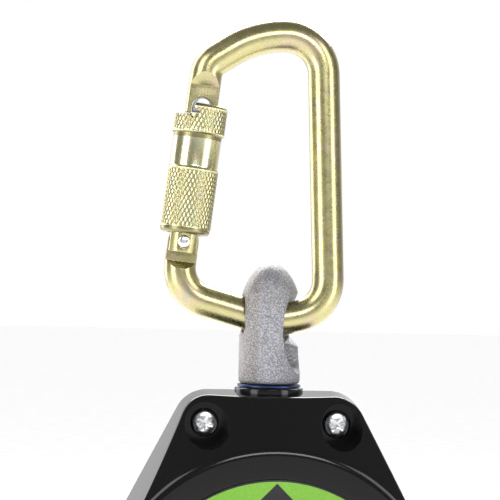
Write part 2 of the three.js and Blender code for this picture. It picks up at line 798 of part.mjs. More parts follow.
// Pan-head screw with a cross recess, head towards -Y.
function coverScrew() {
  const seat = -screwSeatY - seatGap;
  const top = seat - screwHeadHeight;
  const body = lathe([
    [0, top],
    [screwHeadRadius * 0.55, top + 0.15],
    [screwHeadRadius * 0.85, top + 0.7],
    [screwHeadRadius, top + 1.8],
    [screwHeadRadius, seat],
    [screwRadius, seat],
    [screwRadius, insertLength + screwTail],
    [0, insertLength + screwTail],
  ], 16);
  const across = box(-recessArm, recessArm, top - 1, top + recessDepth, -recessWidth / 2, recessWidth / 2);
  const upright = box(-recessWidth / 2, recessWidth / 2, top - 1, top + recessDepth, -recessArm, recessArm);
  return solid(body).subtract(solid(across)).subtract(solid(upright));
}

screwPlaces.forEach(([x, z], i) => {
  const screw = geometryOf(coverScrew());
  add(`cover_screw_${i + 1}`, screw.translate(x, 0, z), brightSteel);
  const insert = tube(screwRadius + seatGap, insertRadius, 2 * seatGap, insertLength, 12);
  add(`threaded_insert_${i + 1}`, insert.translate(x, 0, z), bronze);
});

const flangeTop = footZ - seatGap;
add('outlet_guide', latheZ([
  [outletBore, flangeTop - outletFlangeHeight],
  [outletFlangeRadius - 1, flangeTop - outletFlangeHeight],
  [outletFlangeRadius, flangeTop - outletFlangeHeight + 1],
  [outletFlangeRadius, flangeTop],
  [outletRadius, flangeTop],
  [outletRadius, flangeTop + outletStem],
  [outletBore, flangeTop + outletStem],
], 32), blackPlastic);

// ---------------------------------------------------------------- frame
function framePlateOutline() {
  const outline = [];
  const top = housingCentre + strapTopReach;
  const bottom = housingCentre - footStrapReach;
  const footHalf = spacerX + spacerRadius;
  const joinTop = Math.acos(strapHalfWidth / plateRadius);
  const joinFoot = Math.acos(footHalf / plateRadius);
  outline.push(new THREE.Vector2(strapHalfWidth, top), new THREE.Vector2(-strapHalfWidth, top));
  const steps = 14;
  for (let i = 0; i <= steps; i += 1) {
    const turn = THREE.MathUtils.lerp(Math.PI - joinTop, Math.PI + joinFoot, i / steps);
    const height = housingCentre + plateRadius * Math.sin(turn);
    outline.push(new THREE.Vector2(plateRadius * Math.cos(turn), height));
  }
  outline.push(new THREE.Vector2(-footHalf, bottom), new THREE.Vector2(footHalf, bottom));
  for (let i = 0; i <= steps; i += 1) {
    const turn = THREE.MathUtils.lerp(-joinFoot, joinTop, i / steps);
    const height = housingCentre + plateRadius * Math.sin(turn);
    outline.push(new THREE.Vector2(plateRadius * Math.cos(turn), height));
  }
  return outline;
}

function framePlateSolid(fromY, toY, bore) {
  return plate(framePlateOutline(), fromY, toY, [circle(bore, 0, housingCentre, 24)]);
}

const shaftBore = shaftRadius + seatGap;
const arborBore = arborRadius + runningGap;
add('front_frame_plate', framePlateSolid(-frontPlateY - plateThickness, -frontPlateY, shaftBore), plainSteel);
add('rear_frame_plate', framePlateSolid(rearPlateY, rearPlateY + plateThickness, arborBore), plainSteel);

function swivelYoke() {
  const front = -frontPlateY + seatGap;
  const rear = rearPlateY - seatGap;
  const ledge = yokeTop - (yokeTopReach - strapTopReach);
  const outline = [
    [-yokeHalfDepth, yokeTop], [yokeHalfDepth, yokeTop], [rear, ledge],
    [rear, yokeBottom], [front, yokeBottom], [front, ledge],
  ].map(([y, z]) => new THREE.Vector2(y, z));
  const block = new THREE.ExtrudeGeometry(new THREE.Shape(outline), {
    depth: 2 * yokeHalfWidth,
    bevelEnabled: false,
  });
  block.rotateX(Math.PI / 2).rotateZ(Math.PI / 2).translate(-yokeHalfWidth, 0, 0);
  const bore = rodZ(shankBore, yokeTop - 30, yokeTop + 2, 24);
  const pocket = rodZ(yokeBoreRadius, yokeBottom - 2, yokeRoofZ, 28);
  return solid(block).subtract(solid(bore)).subtract(solid(pocket));
}

add('swivel_yoke', swivelYoke(), plainSteel);
[-1, 1].forEach((side, i) => {
  const spacer = rod(spacerRadius, -frontPlateY + seatGap, rearPlateY - seatGap, 20);
  add(`frame_spacer_${i + 1}`, spacer.translate(side * spacerX, 0, housingCentre - spacerReach), plainSteel);
});

const shaftFront = -halfDepth + wall + 1;
const caseBack = rearPlateY + plateThickness + seatGap + springCaseDepth;
const mainShaft = rod(shaftRadius, shaftFront, caseBack - springCaseWall - seatGap, 28);
add('main_shaft', mainShaft.translate(0, 0, housingCentre), brightSteel);

function shaftNut() {
  const back = -frontPlateY - plateThickness - seatGap;
  const geometry = plate(hexagon(nutAcrossFlats), back - nutHeight, back, [circle(shaftBore, 0, 0, 24)]);
  return geometry.translate(0, 0, housingCentre);
}

add('shaft_nut', shaftNut(), plainSteel);

// ---------------------------------------------------------------- drum
const ropeFrontY = drumFrontY + drumFlangeThickness;
const ropeRearY = ropeFrontY + ropeRoom;
const drumRearY = ropeRearY + drumFlangeThickness;
const bushOuter = shaftRadius + runningGap / 2 + bushWall;
const drumBore = bushOuter + seatGap;
const arborFrontY = drumRearY - bushLength - drumFlangeThickness;

function drumBody() {
  const stepY = arborFrontY - seatGap;
  const step = arborRadius + seatGap;
  const spool = solid(lathe([
    [drumBore, drumFrontY],
    [drumFlangeRadius, drumFrontY],
    [drumFlangeRadius, ropeFrontY],
    [drumHubRadius, ropeFrontY],
    [drumHubRadius, ropeRearY],
    [drumFlangeRadius, ropeRearY],
    [drumFlangeRadius, drumRearY],
    [step, drumRearY],
    [step, stepY],
    [drumBore, stepY],
  ], 36));
  let body = spool;
  for (const side of [-1, 1]) {
    const hole = rod(pawlPinRadius + seatGap, drumFrontY - 1, ropeFrontY + 0.5, 16);
    body = body.subtract(solid(hole.translate(side * pawlPivotRadius, 0, 0)));
  }
  return geometryOf(body).translate(0, 0, housingCentre);
}

add('drum', drumBody(), aluminium);
const woundLifeline = tube(
  drumHubRadius + seatGap,
  ropeOuterRadius,
  ropeFrontY + seatGap,
  ropeRearY - seatGap,
  28,
);
add('wound_lifeline', woundLifeline.translate(0, 0, housingCentre), wireRope);
const bushBore = shaftRadius + runningGap / 2;
const frontBush = tube(bushBore, bushOuter, drumFrontY, drumFrontY + bushLength, 16);
add('front_bush', frontBush.translate(0, 0, housingCentre), bronze);
const rearBushEnd = arborFrontY - rearBushSetback;
const rearBush = tube(bushBore, bushOuter - rearBushStep, rearBushEnd - bushLength, rearBushEnd, 16);
add('rear_bush', rearBush.translate(0, 0, housingCentre), bronze);
const arborRearY = caseBack - springCaseWall - runningGap;
add('spring_arbor', tube(shaftRadius + runningGap / 2, arborRadius, arborFrontY, arborRearY, 20)
  .translate(0, 0, housingCentre), aluminium);

// ---------------------------------------------------------------- brake
const hubRadius = shaftRadius + brakeSleeveWall;
const hubBore = shaftRadius + seatGap;
const stackBore = hubRadius + seatGap;
const hubFlangeBack = drumFrontY - runningGap;
const hubFlangeFront = hubFlangeBack - 1.2;
const rearDiscFront = hubFlangeFront - seatGap - frictionThickness;
const ratchetBack = rearDiscFront - seatGap;
const ratchetFront = ratchetBack - ratchetThickness;
const frontDiscBack = ratchetFront - seatGap;
const pressureBack = frontDiscBack - frictionThickness - seatGap;
const discSpringBack = pressureBack - 1 - seatGap;
const brakeNutBack = discSpringBack - 2 * discSpringThickness - seatGap;
const hubSleeveFront = brakeNutBack - brakeNutThickness;

function brakeHub() {
  return lathe([
    [hubBore, hubFlangeBack],
    [brakeRadius, hubFlangeBack],
    [brakeRadius, hubFlangeFront],
    [hubRadius, hubFlangeFront],
    [hubRadius, hubSleeveFront],
    [hubBore, hubSleeveFront],
  ], 20).translate(0, 0, housingCentre);
}

function ratchetWheel() {
  const outline = [];
  const root = ratchetTipRadius - ratchetToothDepth;
  for (let i = 0; i < ratchetTeeth; i += 1) {
    const pitch = (2 * Math.PI) / ratchetTeeth;
    const start = i * pitch + pitch * 0.24;
    const tooth = [
      [root, 0],
      [ratchetTipRadius, 0.12],
      [ratchetTipRadius, 0.3],
      [root, 0.62],
    ];
    for (const [radius, share] of tooth) {
      const turn = start + share * pitch;
      outline.push(new THREE.Vector2(radius * Math.cos(turn), radius * Math.sin(turn)));
    }
  }
  const wheel = plate(outline, ratchetFront, ratchetBack, [circle(stackBore, 0, 0, 20)]);
  return wheel.translate(0, 0, housingCentre);
}

const lining = (back) => tube(stackBore, brakeRadius, back - frictionThickness, back, 20);
add('brake_hub', brakeHub(), plainSteel);
add('rear_friction_disc', lining(hubFlangeFront - seatGap).translate(0, 0, housingCentre), frictionLining);
add('ratchet_wheel', ratchetWheel(), plainSteel);
add('front_friction_disc', lining(frontDiscBack).translate(0, 0, housingCentre), frictionLining);
add('pressure_plate', tube(stackBore, brakeRadius, pressureBack - 1, pressureBack, 20)
  .translate(0, 0, housingCentre), plainSteel);
add('disc_spring', lathe([
  [stackBore, discSpringBack - 2 * discSpringThickness],
  [stackBore + 5.6, discSpringBack - discSpringThickness],
  [stackBore + 5.6, discSpringBack],
  [stackBore, discSpringBack - discSpringThickness],
], 20).translate(0, 0, housingCentre), springSteel);
add('brake_nut', tube(stackBore, 14, brakeNutBack - brakeNutThickness, brakeNutBack, 20)
  .translate(0, 0, housingCentre), plainSteel);

// ---------------------------------------------------------------- pawls
const pawlBack = ratchetBack + 0.2;
const pawlFront = pawlBack - pawlThickness;

// Drawn for the right-hand pivot; the arm hangs beside the ratchet and its nose points inwards.
function pawl() {
  const outline = circle(pawlEyeRadius, 0, 0, 20).slice(0, 15);
  const tip = pawlPivotRadius - ratchetTipRadius - 1.5;
  outline.push(new THREE.Vector2(-pawlEyeRadius * 0.9, -6));
  outline.push(new THREE.Vector2(-tip + 1.2, -pawlLength + 1.5));
  outline.push(new THREE.Vector2(-tip + 2.2, -pawlLength));
  outline.push(new THREE.Vector2(-tip + 5.5, -pawlLength + 0.5));
  outline.push(new THREE.Vector2(pawlEyeRadius * 0.85, -5));
  return plate(outline, pawlFront, pawlBack, [circle(pawlPinRadius + seatGap, 0, 0, 16)]);
}

function pawlPin() {
  return rod(pawlPinRadius, pawlFront - 1, ropeFrontY, 16);
}

function pawlSpring() {
  const coil = pawlPinRadius + 1.2;
  const back = drumFrontY - seatGap;
  return tube(coil - 0.6, coil, pawlBack + seatGap, back, 16);
}

[1, -1].forEach((side, i) => {
  const turn = side > 0 ? 0 : Math.PI;
  const place = (geometry) => {
    geometry.translate(pawlPivotRadius, 0, 0).rotateY(turn);
    return geometry.translate(0, 0, housingCentre);
  };
  add(`pawl_${i + 1}`, place(pawl()), plainSteel);
  add(`pawl_pin_${i + 1}`, place(pawlPin()), brightSteel);
  add(`pawl_spring_${i + 1}`, place(pawlSpring()), springSteel);
});

// ---------------------------------------------------------------- rewind spring
const caseFront = rearPlateY + plateThickness + seatGap;
function springCase() {
  const inside = springCaseRadius - springCaseWall;
  const geometry = lathe([
    [shaftRadius - 3, caseBack - springCaseWall],
    [inside, caseBack - springCaseWall],
    [inside, caseFront],
    [springCaseRadius, caseFront],
    [springCaseRadius, caseBack],
    [shaftRadius - 3, caseBack],
  ], 28);
  return geometry.translate(0, 0, housingCentre);
}

function powerSpring() {
  const inner = arborRadius + runningGap;
  const outer = springCaseRadius - springCaseWall - seatGap - powerSpringThickness;
  const perTurn = 16;
  const count = powerSpringTurns * perTurn;
  const inside = [];
  const outside = [];
  for (let i = 0; i <= count; i += 1) {
    const turn = (i / perTurn) * 2 * Math.PI;
    const radius = THREE.MathUtils.lerp(inner + 1, outer, i / count);
    inside.push(new THREE.Vector2(radius * Math.cos(turn), radius * Math.sin(turn)));
    const far = radius + powerSpringThickness;
    outside.push(new THREE.Vector2(far * Math.cos(turn), far * Math.sin(turn)));
  }
  const outline = [...inside, ...outside.reverse()];
  const back = caseFront + 0.9;
  return plate(outline, back, back + powerSpringWidth).translate(0, 0, housingCentre);
}

add('spring_case', springCase(), aluminium);
add('power_spring', powerSpring(), springSteel);

export default lifeline;
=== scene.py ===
import json
import math

import bmesh
import bpy
from mathutils import Matrix, Vector


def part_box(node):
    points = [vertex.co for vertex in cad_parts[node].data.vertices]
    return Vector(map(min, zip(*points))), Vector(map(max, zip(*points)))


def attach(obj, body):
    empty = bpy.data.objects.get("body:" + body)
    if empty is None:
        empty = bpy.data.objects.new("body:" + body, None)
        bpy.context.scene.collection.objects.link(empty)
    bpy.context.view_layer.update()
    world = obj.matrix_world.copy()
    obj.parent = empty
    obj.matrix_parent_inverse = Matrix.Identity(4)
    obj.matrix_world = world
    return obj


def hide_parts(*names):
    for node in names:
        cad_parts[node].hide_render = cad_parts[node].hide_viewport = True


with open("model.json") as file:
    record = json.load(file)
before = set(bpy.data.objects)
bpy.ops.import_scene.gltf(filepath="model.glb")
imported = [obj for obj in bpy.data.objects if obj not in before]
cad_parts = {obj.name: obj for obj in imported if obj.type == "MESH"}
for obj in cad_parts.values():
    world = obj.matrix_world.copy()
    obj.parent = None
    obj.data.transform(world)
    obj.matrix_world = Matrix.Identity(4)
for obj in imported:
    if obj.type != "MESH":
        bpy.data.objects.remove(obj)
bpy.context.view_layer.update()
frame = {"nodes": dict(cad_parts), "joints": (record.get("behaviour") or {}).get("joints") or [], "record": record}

MM = 0.001
JOINTS = {joint["name"]: joint for joint in frame["joints"]}

# ---------------------------------------------------------------- sizes, in metres
BAR_RADIUS = 5.6 * MM
BAR_SKIN = 0.05 * MM
GATE_LEAN = math.radians(6.5)
TONGUE = 4.8 * MM
CUT_REACH = 9 * MM
TOP_SLOPE = 33
SPINE_SLOPE = -87.6
RIGHT_FOOT_SLOPE = 14
LEFT_FOOT_SLOPE = -15.5
LOAD_DROP = 93.4 * MM
LOAD_BEND = 32 * MM
HINGE_FLAT_TOP = 7 * MM
HINGE_FLAT_FOOT = -6.9 * MM
HINGE_SHOULDER_FOOT = -9.5 * MM
NOSE_SHOULDER = 4.6 * MM

HALF_DEPTH = 34 * MM
PLATEAU = 57 * MM
CONE_FALL = 1.04
DRAFT = 0.0787
WALL = 3 * MM
PARTING = 0.15 * MM
LABEL_RADIUS = 47.6 * MM
LABEL_THICKNESS = 0.5 * MM
SEAT_GAP = 0.3 * MM
COUNTERBORE = 7.4 * MM
SCREW_SEAT = 9 * MM
SHOULDER_ANGLE = math.radians(27.4)
FOOT_ANGLE = math.radians(26)
SHOULDER_HEIGHT = 74.8 * MM
TOP_HALF_WIDTH = 28.6 * MM
FOOT_DEPTH = 63 * MM
COLLAR_RADIUS = 12 * MM
SHANK_HOLE = 5.7 * MM
OUTLET_HOLE = 8.9 * MM
BOSS_WALL = 1.9 * MM
PLATE_HALF_WIDTH = 26.3 * MM
PLATE_HALF_HEIGHT = 17.3 * MM
SCREW_HEAD_RADIUS = 4.8 * MM
SCREW_SHANK_RADIUS = 2.5 * MM

EYE_RADIUS = 11.3 * MM
EYE_HEIGHT = 41.8 * MM
EYE_DOME = 18.9 * MM
EYE_CROWN = 13.5 * MM
EYE_TURN = math.radians(71)
EYE_BEND = math.radians(19)
EYE_BLEND = 4 * MM
EYE_CREASE = math.atan2(-0.901, -0.434)
EYE_SQUARENESS = 4
HOLE_SQUARENESS = 3

SLEEVE_START = 2.8 * MM
SLEEVE_END = 47.8 * MM
SLEEVE_BORE = 6.0 * MM
SLEEVE_NECK = 8.4 * MM
LOW_KNURL_END = 25.8 * MM
LOW_KNURL_RADIUS = 8.9 * MM
HIGH_KNURL_START = 37.8 * MM
HIGH_KNURL_RADIUS = 9.2 * MM
KNURL_DEPTH = 0.3 * MM
KNURL_PITCH = 3 * MM
KNURL_STEP = 0.375 * MM
KNURL_DIAMONDS = 42
LOW_RIM = SLEEVE_END - 4 * MM
NOTCH_START = math.radians(17)
NOTCH_END = math.radians(205)
NOSE_END = math.hypot(LOW_RIM, HIGH_KNURL_RADIUS) + SEAT_GAP
NOSE_FLAT_TOP = NOSE_END + 9.8 * MM

PIN = Vector(JOINTS["gate_hinge"]["pos_m"])
CENTRE = Vector(JOINTS["drum_spin"]["pos_m"])
BODY_RADIUS = TOP_HALF_WIDTH * math.cos(SHOULDER_ANGLE) + SHOULDER_HEIGHT * math.sin(SHOULDER_ANGLE)
GATE_MATRIX = Matrix.Translation(PIN) @ Matrix.Rotation(GATE_LEAN, 4, "Y")


def smoothstep(low, high, value):
    share = min(1.0, max(0.0, (value - low) / (high - low)))
    return share * share * (3 - 2 * share)


# ---------------------------------------------------------------- mesh helpers
def clear_selection():
    if bpy.context.object and bpy.context.object.mode != "OBJECT":
        bpy.ops.object.mode_set(mode="OBJECT")
    bpy.ops.object.select_all(action="DESELECT")


def pick(obj):
    clear_selection()
    obj.select_set(True)
    bpy.context.view_layer.objects.active = obj


def named(name):
    obj = bpy.context.object
    obj.name = name
    obj.data.name = name
    return obj


def settle(obj):
    """Puts the object's place, turn and scale into its mesh."""
    pick(obj)
    bpy.ops.object.transform_apply(location=True, rotation=True, scale=True)
    return obj


def modify(obj, kind, **settings):
    pick(obj)
    modifier = obj.modifiers.new(kind.lower(), kind)
    for key, value in settings.items():
        setattr(modifier, key, value)
    bpy.ops.object.modifier_apply(modifier=modifier.name)
    return obj


def combine(obj, tool, operation):
    """Joins, cuts or keeps what is common, then deletes the tool."""
    modify(obj, "BOOLEAN", operation=operation, object=tool, solver="MANIFOLD")
    bpy.data.objects.remove(tool)
    return obj


def smooth(obj, angle=32):
    pick(obj)
    bpy.ops.object.shade_smooth_by_angle(angle=math.radians(angle))
    return obj


def soften(obj, width, segments=3, angle=30):
    return modify(
        obj, "BEVEL", width=width, segments=segments, limit_method="ANGLE",
        angle_limit=math.radians(angle), use_clamp_overlap=True, harden_normals=False,
    )


def cylinder(name, radius, start, end, segments=64, axis="Y"):
    """A rod along an axis; start and end are points."""
    start, end = Vector(start), Vector(end)
    turn = {"Y": (math.pi / 2, 0, 0), "Z": (0, 0, 0), "X": (0, math.pi / 2, 0)}[axis]
    bpy.ops.mesh.primitive_cylinder_add(
        vertices=segments, radius=radius, depth=(end - start).length,
        location=(start + end) / 2, rotation=turn,
    )
    return settle(named(name))


def block(name, low, high):
    low, high = Vector(low), Vector(high)
    bpy.ops.mesh.primitive_cube_add(size=1, location=(low + high) / 2, scale=high - low)
    return settle(named(name))


def from_rings(name, rings, close_loop=False):
    """Joins rings of equal length; fans close the ends, or the last ring meets the first."""
    mesh = bmesh.new()
    made = [[mesh.verts.new(point) for point in ring] for ring in rings]
    count = len(rings[0])
    pairs = list(zip(made, made[1:]))
    if close_loop:
        pairs.append((made[-1], made[0]))
    for low, high in pairs:
        for i in range(count):
            j = (i + 1) % count
            mesh.faces.new((low[i], low[j], high[j], high[i]))
    if not close_loop:
        for ring in (made[0], made[-1]):
            hub = mesh.verts.new(sum((v.co for v in ring), Vector()) / count)
            for i in range(count):
                mesh.faces.new((ring[i], ring[(i + 1) % count], hub))
    bmesh.ops.recalc_face_normals(mesh, faces=mesh.faces)
    data = bpy.data.meshes.new(name)
    mesh.to_mesh(data)
    mesh.free()
    obj = bpy.data.objects.new(name, data)
    bpy.context.scene.collection.objects.link(obj)
    return obj


def lathe(name, profile, segments, place=(0, 0, 0), axis="Z"):
    """Turns [radius, height] points about an axis; the profile closes on itself."""
    rings = []
    for i in range(segments):
        turn = 2 * math.pi * i / segments
        ring = []
        for radius, height in profile:
            x, y = radius * math.cos(turn), radius * math.sin(turn)
            ring.append(Vector((x, y, height)) if axis == "Z" else Vector((x, height, y)))
        rings.append([point + Vector(place) for point in ring])
    return from_rings(name, rings, close_loop=True)


def twin(obj):
    copy = obj.copy()
    copy.data = obj.data.copy()
    bpy.context.scene.collection.objects.link(copy)
    return copy


def copy_of(node, name):
    """A merged copy of a CAD node's mesh, as the start of the piece that replaces it."""
    obj = bpy.data.objects.new(name, frame["nodes"][node].data.copy())
    bpy.context.scene.collection.objects.link(obj)
    mesh = bmesh.new()
    mesh.from_mesh(obj.data)
    bmesh.ops.remove_doubles(mesh, verts=mesh.verts, dist=1e-6)
    bmesh.ops.dissolve_limit(mesh, angle_limit=math.radians(1), verts=mesh.verts, edges=mesh.edges)
    mesh.to_mesh(obj.data)
    mesh.free()
    obj.data.materials.clear()
    return obj


def rounded(corners, radii, steps):
    """Rounds the corners of a closed outline with arcs."""
    points = []
    for i, here in enumerate(corners):
        back = (corners[i - 1] - here).normalized()
        ahead = (corners[(i + 1) % len(corners)] - here).normalized()
        half = back.angle(ahead) / 2
        centre = here + (back + ahead).normalized() * radii[i] / math.sin(half)
        start = here + back * radii[i] / math.tan(half) - centre
        end = here + ahead * radii[i] / math.tan(half) - centre
        turn = math.atan2(start.x * end.y - start.y * end.x, start.dot(end))
        for k in range(steps + 1):
            angle = turn * k / steps
            x = start.x * math.cos(angle) - start.y * math.sin(angle)
            y = start.x * math.sin(angle) + start.y * math.cos(angle)
            points.append(centre + Vector((x, y)))
    return points


# ---------------------------------------------------------------- shader maths
class Value:
    """A socket or number whose arithmetic adds Math nodes to the material's tree."""

    def __init__(self, tree, socket):
        self.tree = tree
        self.socket = socket

    def math(self, operation, first, second=None):
        node = self.tree.nodes.new("ShaderNodeMath")
        node.operation = operation
        for slot, part in zip(node.inputs, (first, second)):
            if isinstance(part, Value):
                self.tree.links.new(part.socket, slot)
            elif part is not None:
                slot.default_value = part
        return Value(self.tree, node.outputs[0])

    def __add__(self, other):
        return self.math("ADD", self, other)

    def __radd__(self, other):
        return self.math("ADD", other, self)

    def __sub__(self, other):
        return self.math("SUBTRACT", self, other)

    def __rsub__(self, other):
        return self.math("SUBTRACT", other, self)

    def __mul__(self, other):
        return self.math("MULTIPLY", self, other)

    def __rmul__(self, other):
        return self.math("MULTIPLY", other, self)

    def __truediv__(self, other):
        return self.math("DIVIDE", self, other)

    def __rtruediv__(self, other):
        return self.math("DIVIDE", other, self)

    def __gt__(self, other):
        return self.math("GREATER_THAN", self, other)

    def __lt__(self, other):
        return self.math("LESS_THAN", self, other)

    def __abs__(self):
        return self.math("ABSOLUTE", self)


class Finish:
    """One material: a Principled shader with the nodes that feed it."""

    def __init__(self, name, **fixed):
        self.material = bpy.data.materials.new(name)
        self.material.use_nodes = True
        self.tree = self.material.node_tree
        self.shader = self.tree.nodes["Principled BSDF"]
        for socket, value in fixed.items():
            self.shader.inputs[socket.replace("_", " ")].default_value = value

    def node(self, kind, settings=None, sockets=None, output=0):
        """Any other node: its settings are set first, then the values or links of its sockets."""
        made = self.tree.nodes.new("ShaderNode" + kind)
        stops = (settings or {}).pop("stops", None)
        for key, value in (settings or {}).items():
            setattr(made, key, value)
        if stops:
            ramp = made.color_ramp
            while len(ramp.elements) < len(stops):
                ramp.elements.new(0.5)
            for element, (position, colour) in zip(ramp.elements, stops):
                element.position = position
                element.color = (*colour, 1) if len(colour) == 3 else colour
        for key, value in (sockets or {}).items():
            socket = made.inputs[key]
            if isinstance(value, Value):
                self.tree.links.new(value.socket, socket)
            else:
                socket.default_value = value
        return Value(self.tree, made.outputs[output])

    def place(self):
        """Object coordinates."""
        return self.node("TexCoord", output=3)

    def part_of_place(self, index):
        """One of the object coordinates: 0 is X, 2 is Z."""
        return self.node("SeparateXYZ", None, {"Vector": self.place()}, output=index)

    def noise(self, scale, detail, roughness=0.5):
        return self.node("TexNoise", None, {
            "Vector": self.place(), "Scale": scale, "Detail": detail, "Roughness": roughness,
        })

    def ramp(self, value, stops):
        return self.node("ValToRGB", {"stops": stops}, {"Fac": value})

    def blend(self, factor, first, second):
        """Mixes two colours; sockets 6 and 7 are the Mix node's colour inputs."""
        return self.node("Mix", {"data_type": "RGBA"}, {0: factor, 6: first, 7: second}, output=2)

    def bump(self, height, strength, distance=0.0002):
        return self.node("Bump", None, {
            "Height": height, "Strength": strength, "Distance": distance,
        })

    def set(self, **links):
        for key, value in links.items():
            self.tree.links.new(value.socket, self.shader.inputs[key.replace("_", " ")])
        return self.material


def colour(red, green, blue):
    return (red, green, blue, 1)


def chromate_steel():
    """Yellow chromate on steel: pale olive gold, lemon, pink and green clouds, a fine wrinkle."""
    finish = Finish("yellow_chromate", Metallic=1.0)
    clouds = finish.noise(95, 4, roughness=0.6)
    tint = finish.ramp(clouds, [
        (0.28, (0.360, 0.336, 0.232)),
        (0.42, (0.432, 0.384, 0.184)),
        (0.52, (0.400, 0.376, 0.192)),
        (0.62, (0.440, 0.360, 0.232)),
        (0.74, (0.344, 0.344, 0.256)),
        (0.86, (0.264, 0.288, 0.304)),
    ])
    speckle = finish.noise(900, 3)
    dulled = finish.blend(speckle * 0.3, tint, colour(0.26, 0.24, 0.12))
    wrinkle = finish.noise(420, 5, roughness=0.65)
    grain = finish.noise(1800, 2)
    normal = finish.bump(wrinkle * 0.6 + grain * 0.4, 0.26, 0.00012)
    return finish.set(Base_Color=dulled, Roughness=wrinkle * 0.2 + 0.18, Normal=normal)


def polished_chromate():
    """The sleeve's finish: the same plating, smoother, with painted shade darkening the knurl valleys."""
    finish = Finish("sleeve_chromate", Metallic=1.0)
    clouds = finish.noise(140, 3)
    tint = finish.ramp(clouds, [
        (0.30, (0.532, 0.503, 0.361)),
        (0.48, (0.608, 0.560, 0.323)),
        (0.60, (0.532, 0.551, 0.351)),
        (0.74, (0.589, 0.503, 0.389)),
    ])
    offset = finish.node("VectorMath", {"operation": "SUBTRACT"}, {
        0: finish.place(), 1: tuple(PIN),
    })
    axis = (math.sin(GATE_LEAN), 0, math.cos(GATE_LEAN))
    along = finish.node("VectorMath", {"operation": "DOT_PRODUCT"}, {0: offset, 1: axis}, output=1)
    square = finish.node("VectorMath", {"operation": "CROSS_PRODUCT"}, {0: offset, 1: axis})
    radius = finish.node("VectorMath", {"operation": "LENGTH"}, {0: square}, output=1)
    upper = along > HIGH_KNURL_START - 1.8 * MM
    crest = upper * (HIGH_KNURL_RADIUS - LOW_KNURL_RADIUS) + LOW_KNURL_RADIUS
    knurled = (along < LOW_KNURL_END - 0.1 * MM) + upper
    depth = (crest - radius) / KNURL_DEPTH
    # painted shade: the knurl valleys, found by their radius from the gate axis, are darkened towards dark olive
    painted_valley_shade = finish.node("Clamp", None, {0: (depth - 0.25) * 1.5}) * knurled
    shade = finish.blend(painted_valley_shade * 0.85, tint, colour(0.15, 0.13, 0.055))
    scratches = finish.noise(1300, 2)
    normal = finish.bump(scratches, 0.12, 0.00008)
    rough = scratches * 0.1 + 0.17 + knurled * 0.12
    return finish.set(Base_Color=shade, Roughness=rough, Normal=normal)


def cast_grey():
    """Sand-textured grey casting, with painted brown shading on its left flank."""
    finish = Finish("cast_grey", Metallic=0.75)
    sand = finish.noise(2300, 4, roughness=0.7)
    patches = finish.noise(120, 3)
    tone = finish.ramp(patches, [
        (0.3, (0.120, 0.120, 0.129)),
        (0.55, (0.156, 0.156, 0.170)),
        (0.75, (0.130, 0.115, 0.101)),
    ])
    # painted shading: the left flank, X below -4.9 mm, is tinted brown for the way light falls on that side
    painted_flank_tint = (finish.part_of_place(0) < -4.9 * MM) * 0.55
    tone = finish.blend(painted_flank_tint, tone, colour(0.17, 0.135, 0.10))
    fleck = finish.ramp(sand, [(0.44, (0, 0, 0)), (0.66, (1, 1, 1))])
    shade = finish.blend(fleck, tone, colour(0.45, 0.45, 0.48))
    normal = finish.bump(sand, 0.8, 0.0004)
    return finish.set(Base_Color=shade, Roughness=sand * 0.25 + 0.34, Normal=normal)


def gloss_black():
    """Moulded black plastic: deep gloss with a very faint orange peel and hairline scuffs."""
    finish = Finish("gloss_black_plastic", IOR=1.36)
    peel = finish.noise(260, 2)
    dust = finish.noise(2400, 3)
    shade = finish.ramp(dust, [(0.4, (0.002, 0.002, 0.0022)), (0.8, (0.005, 0.005, 0.0055))])
    normal = finish.bump(peel, 0.05, 0.0002)
    return finish.set(Base_Color=shade, Roughness=dust * 0.08 + 0.09, Normal=normal)


def steel(name, base, rough, scale=900):
    """Plain metal with a fine grain and slightly uneven shine."""
    finish = Finish(name, Metallic=1.0)
    grain = finish.noise(scale, 3)
    low = tuple(part * 0.8 for part in base)
    shade = finish.ramp(grain, [(0.3, low), (0.7, base)])
    normal = finish.bump(grain, 0.15, 0.00008)
    return finish.set(Base_Color=shade, Roughness=grain * 0.16 + rough, Normal=normal)


def friction_lining():
    finish = Finish("friction_lining")
    fibres = finish.noise(1600, 5)
    shade = finish.ramp(fibres, [(0.35, (0.10, 0.07, 0.05)), (0.7, (0.26, 0.19, 0.14))])
    normal = finish.bump(fibres, 0.5)
    return finish.set(Base_Color=shade, Roughness=fibres * 0.2 + 0.75, Normal=normal)


def green_label():
    """Light green print with a thin black edge line and a plain black arrow towards the anchor."""
    finish = Finish("green_label", IOR=1.38)
    x = finish.part_of_place(0)
    z = finish.part_of_place(2) - CENTRE.z
    squared = x * x + z * z
    outline = squared.math("SQRT", squared) > LABEL_RADIUS - 0.6 * MM
    tip = 46.4 * MM
    head = (abs(x) < (tip - z)) * (z > tip - 17 * MM) * (abs(x) < 17 * MM)
    shaft = (abs(x) < 6 * MM) * (z > tip - 44 * MM) * (z < tip - 15 * MM)
    arrow = (head + shaft) > 0.5
    print_grain = finish.noise(1400, 3)
    green = finish.ramp(print_grain, [(0.3, (0.108, 0.27, 0.021)), (0.7, (0.134, 0.31, 0.028))])
    black = colour(0.005, 0.005, 0.006)
    ink = finish.blend((outline + arrow) > 0.5, green, black)
    normal = finish.bump(print_grain, 0.06, 0.0001)
    return finish.set(Base_Color=ink, Roughness=print_grain * 0.1 + 0.34, Normal=normal)


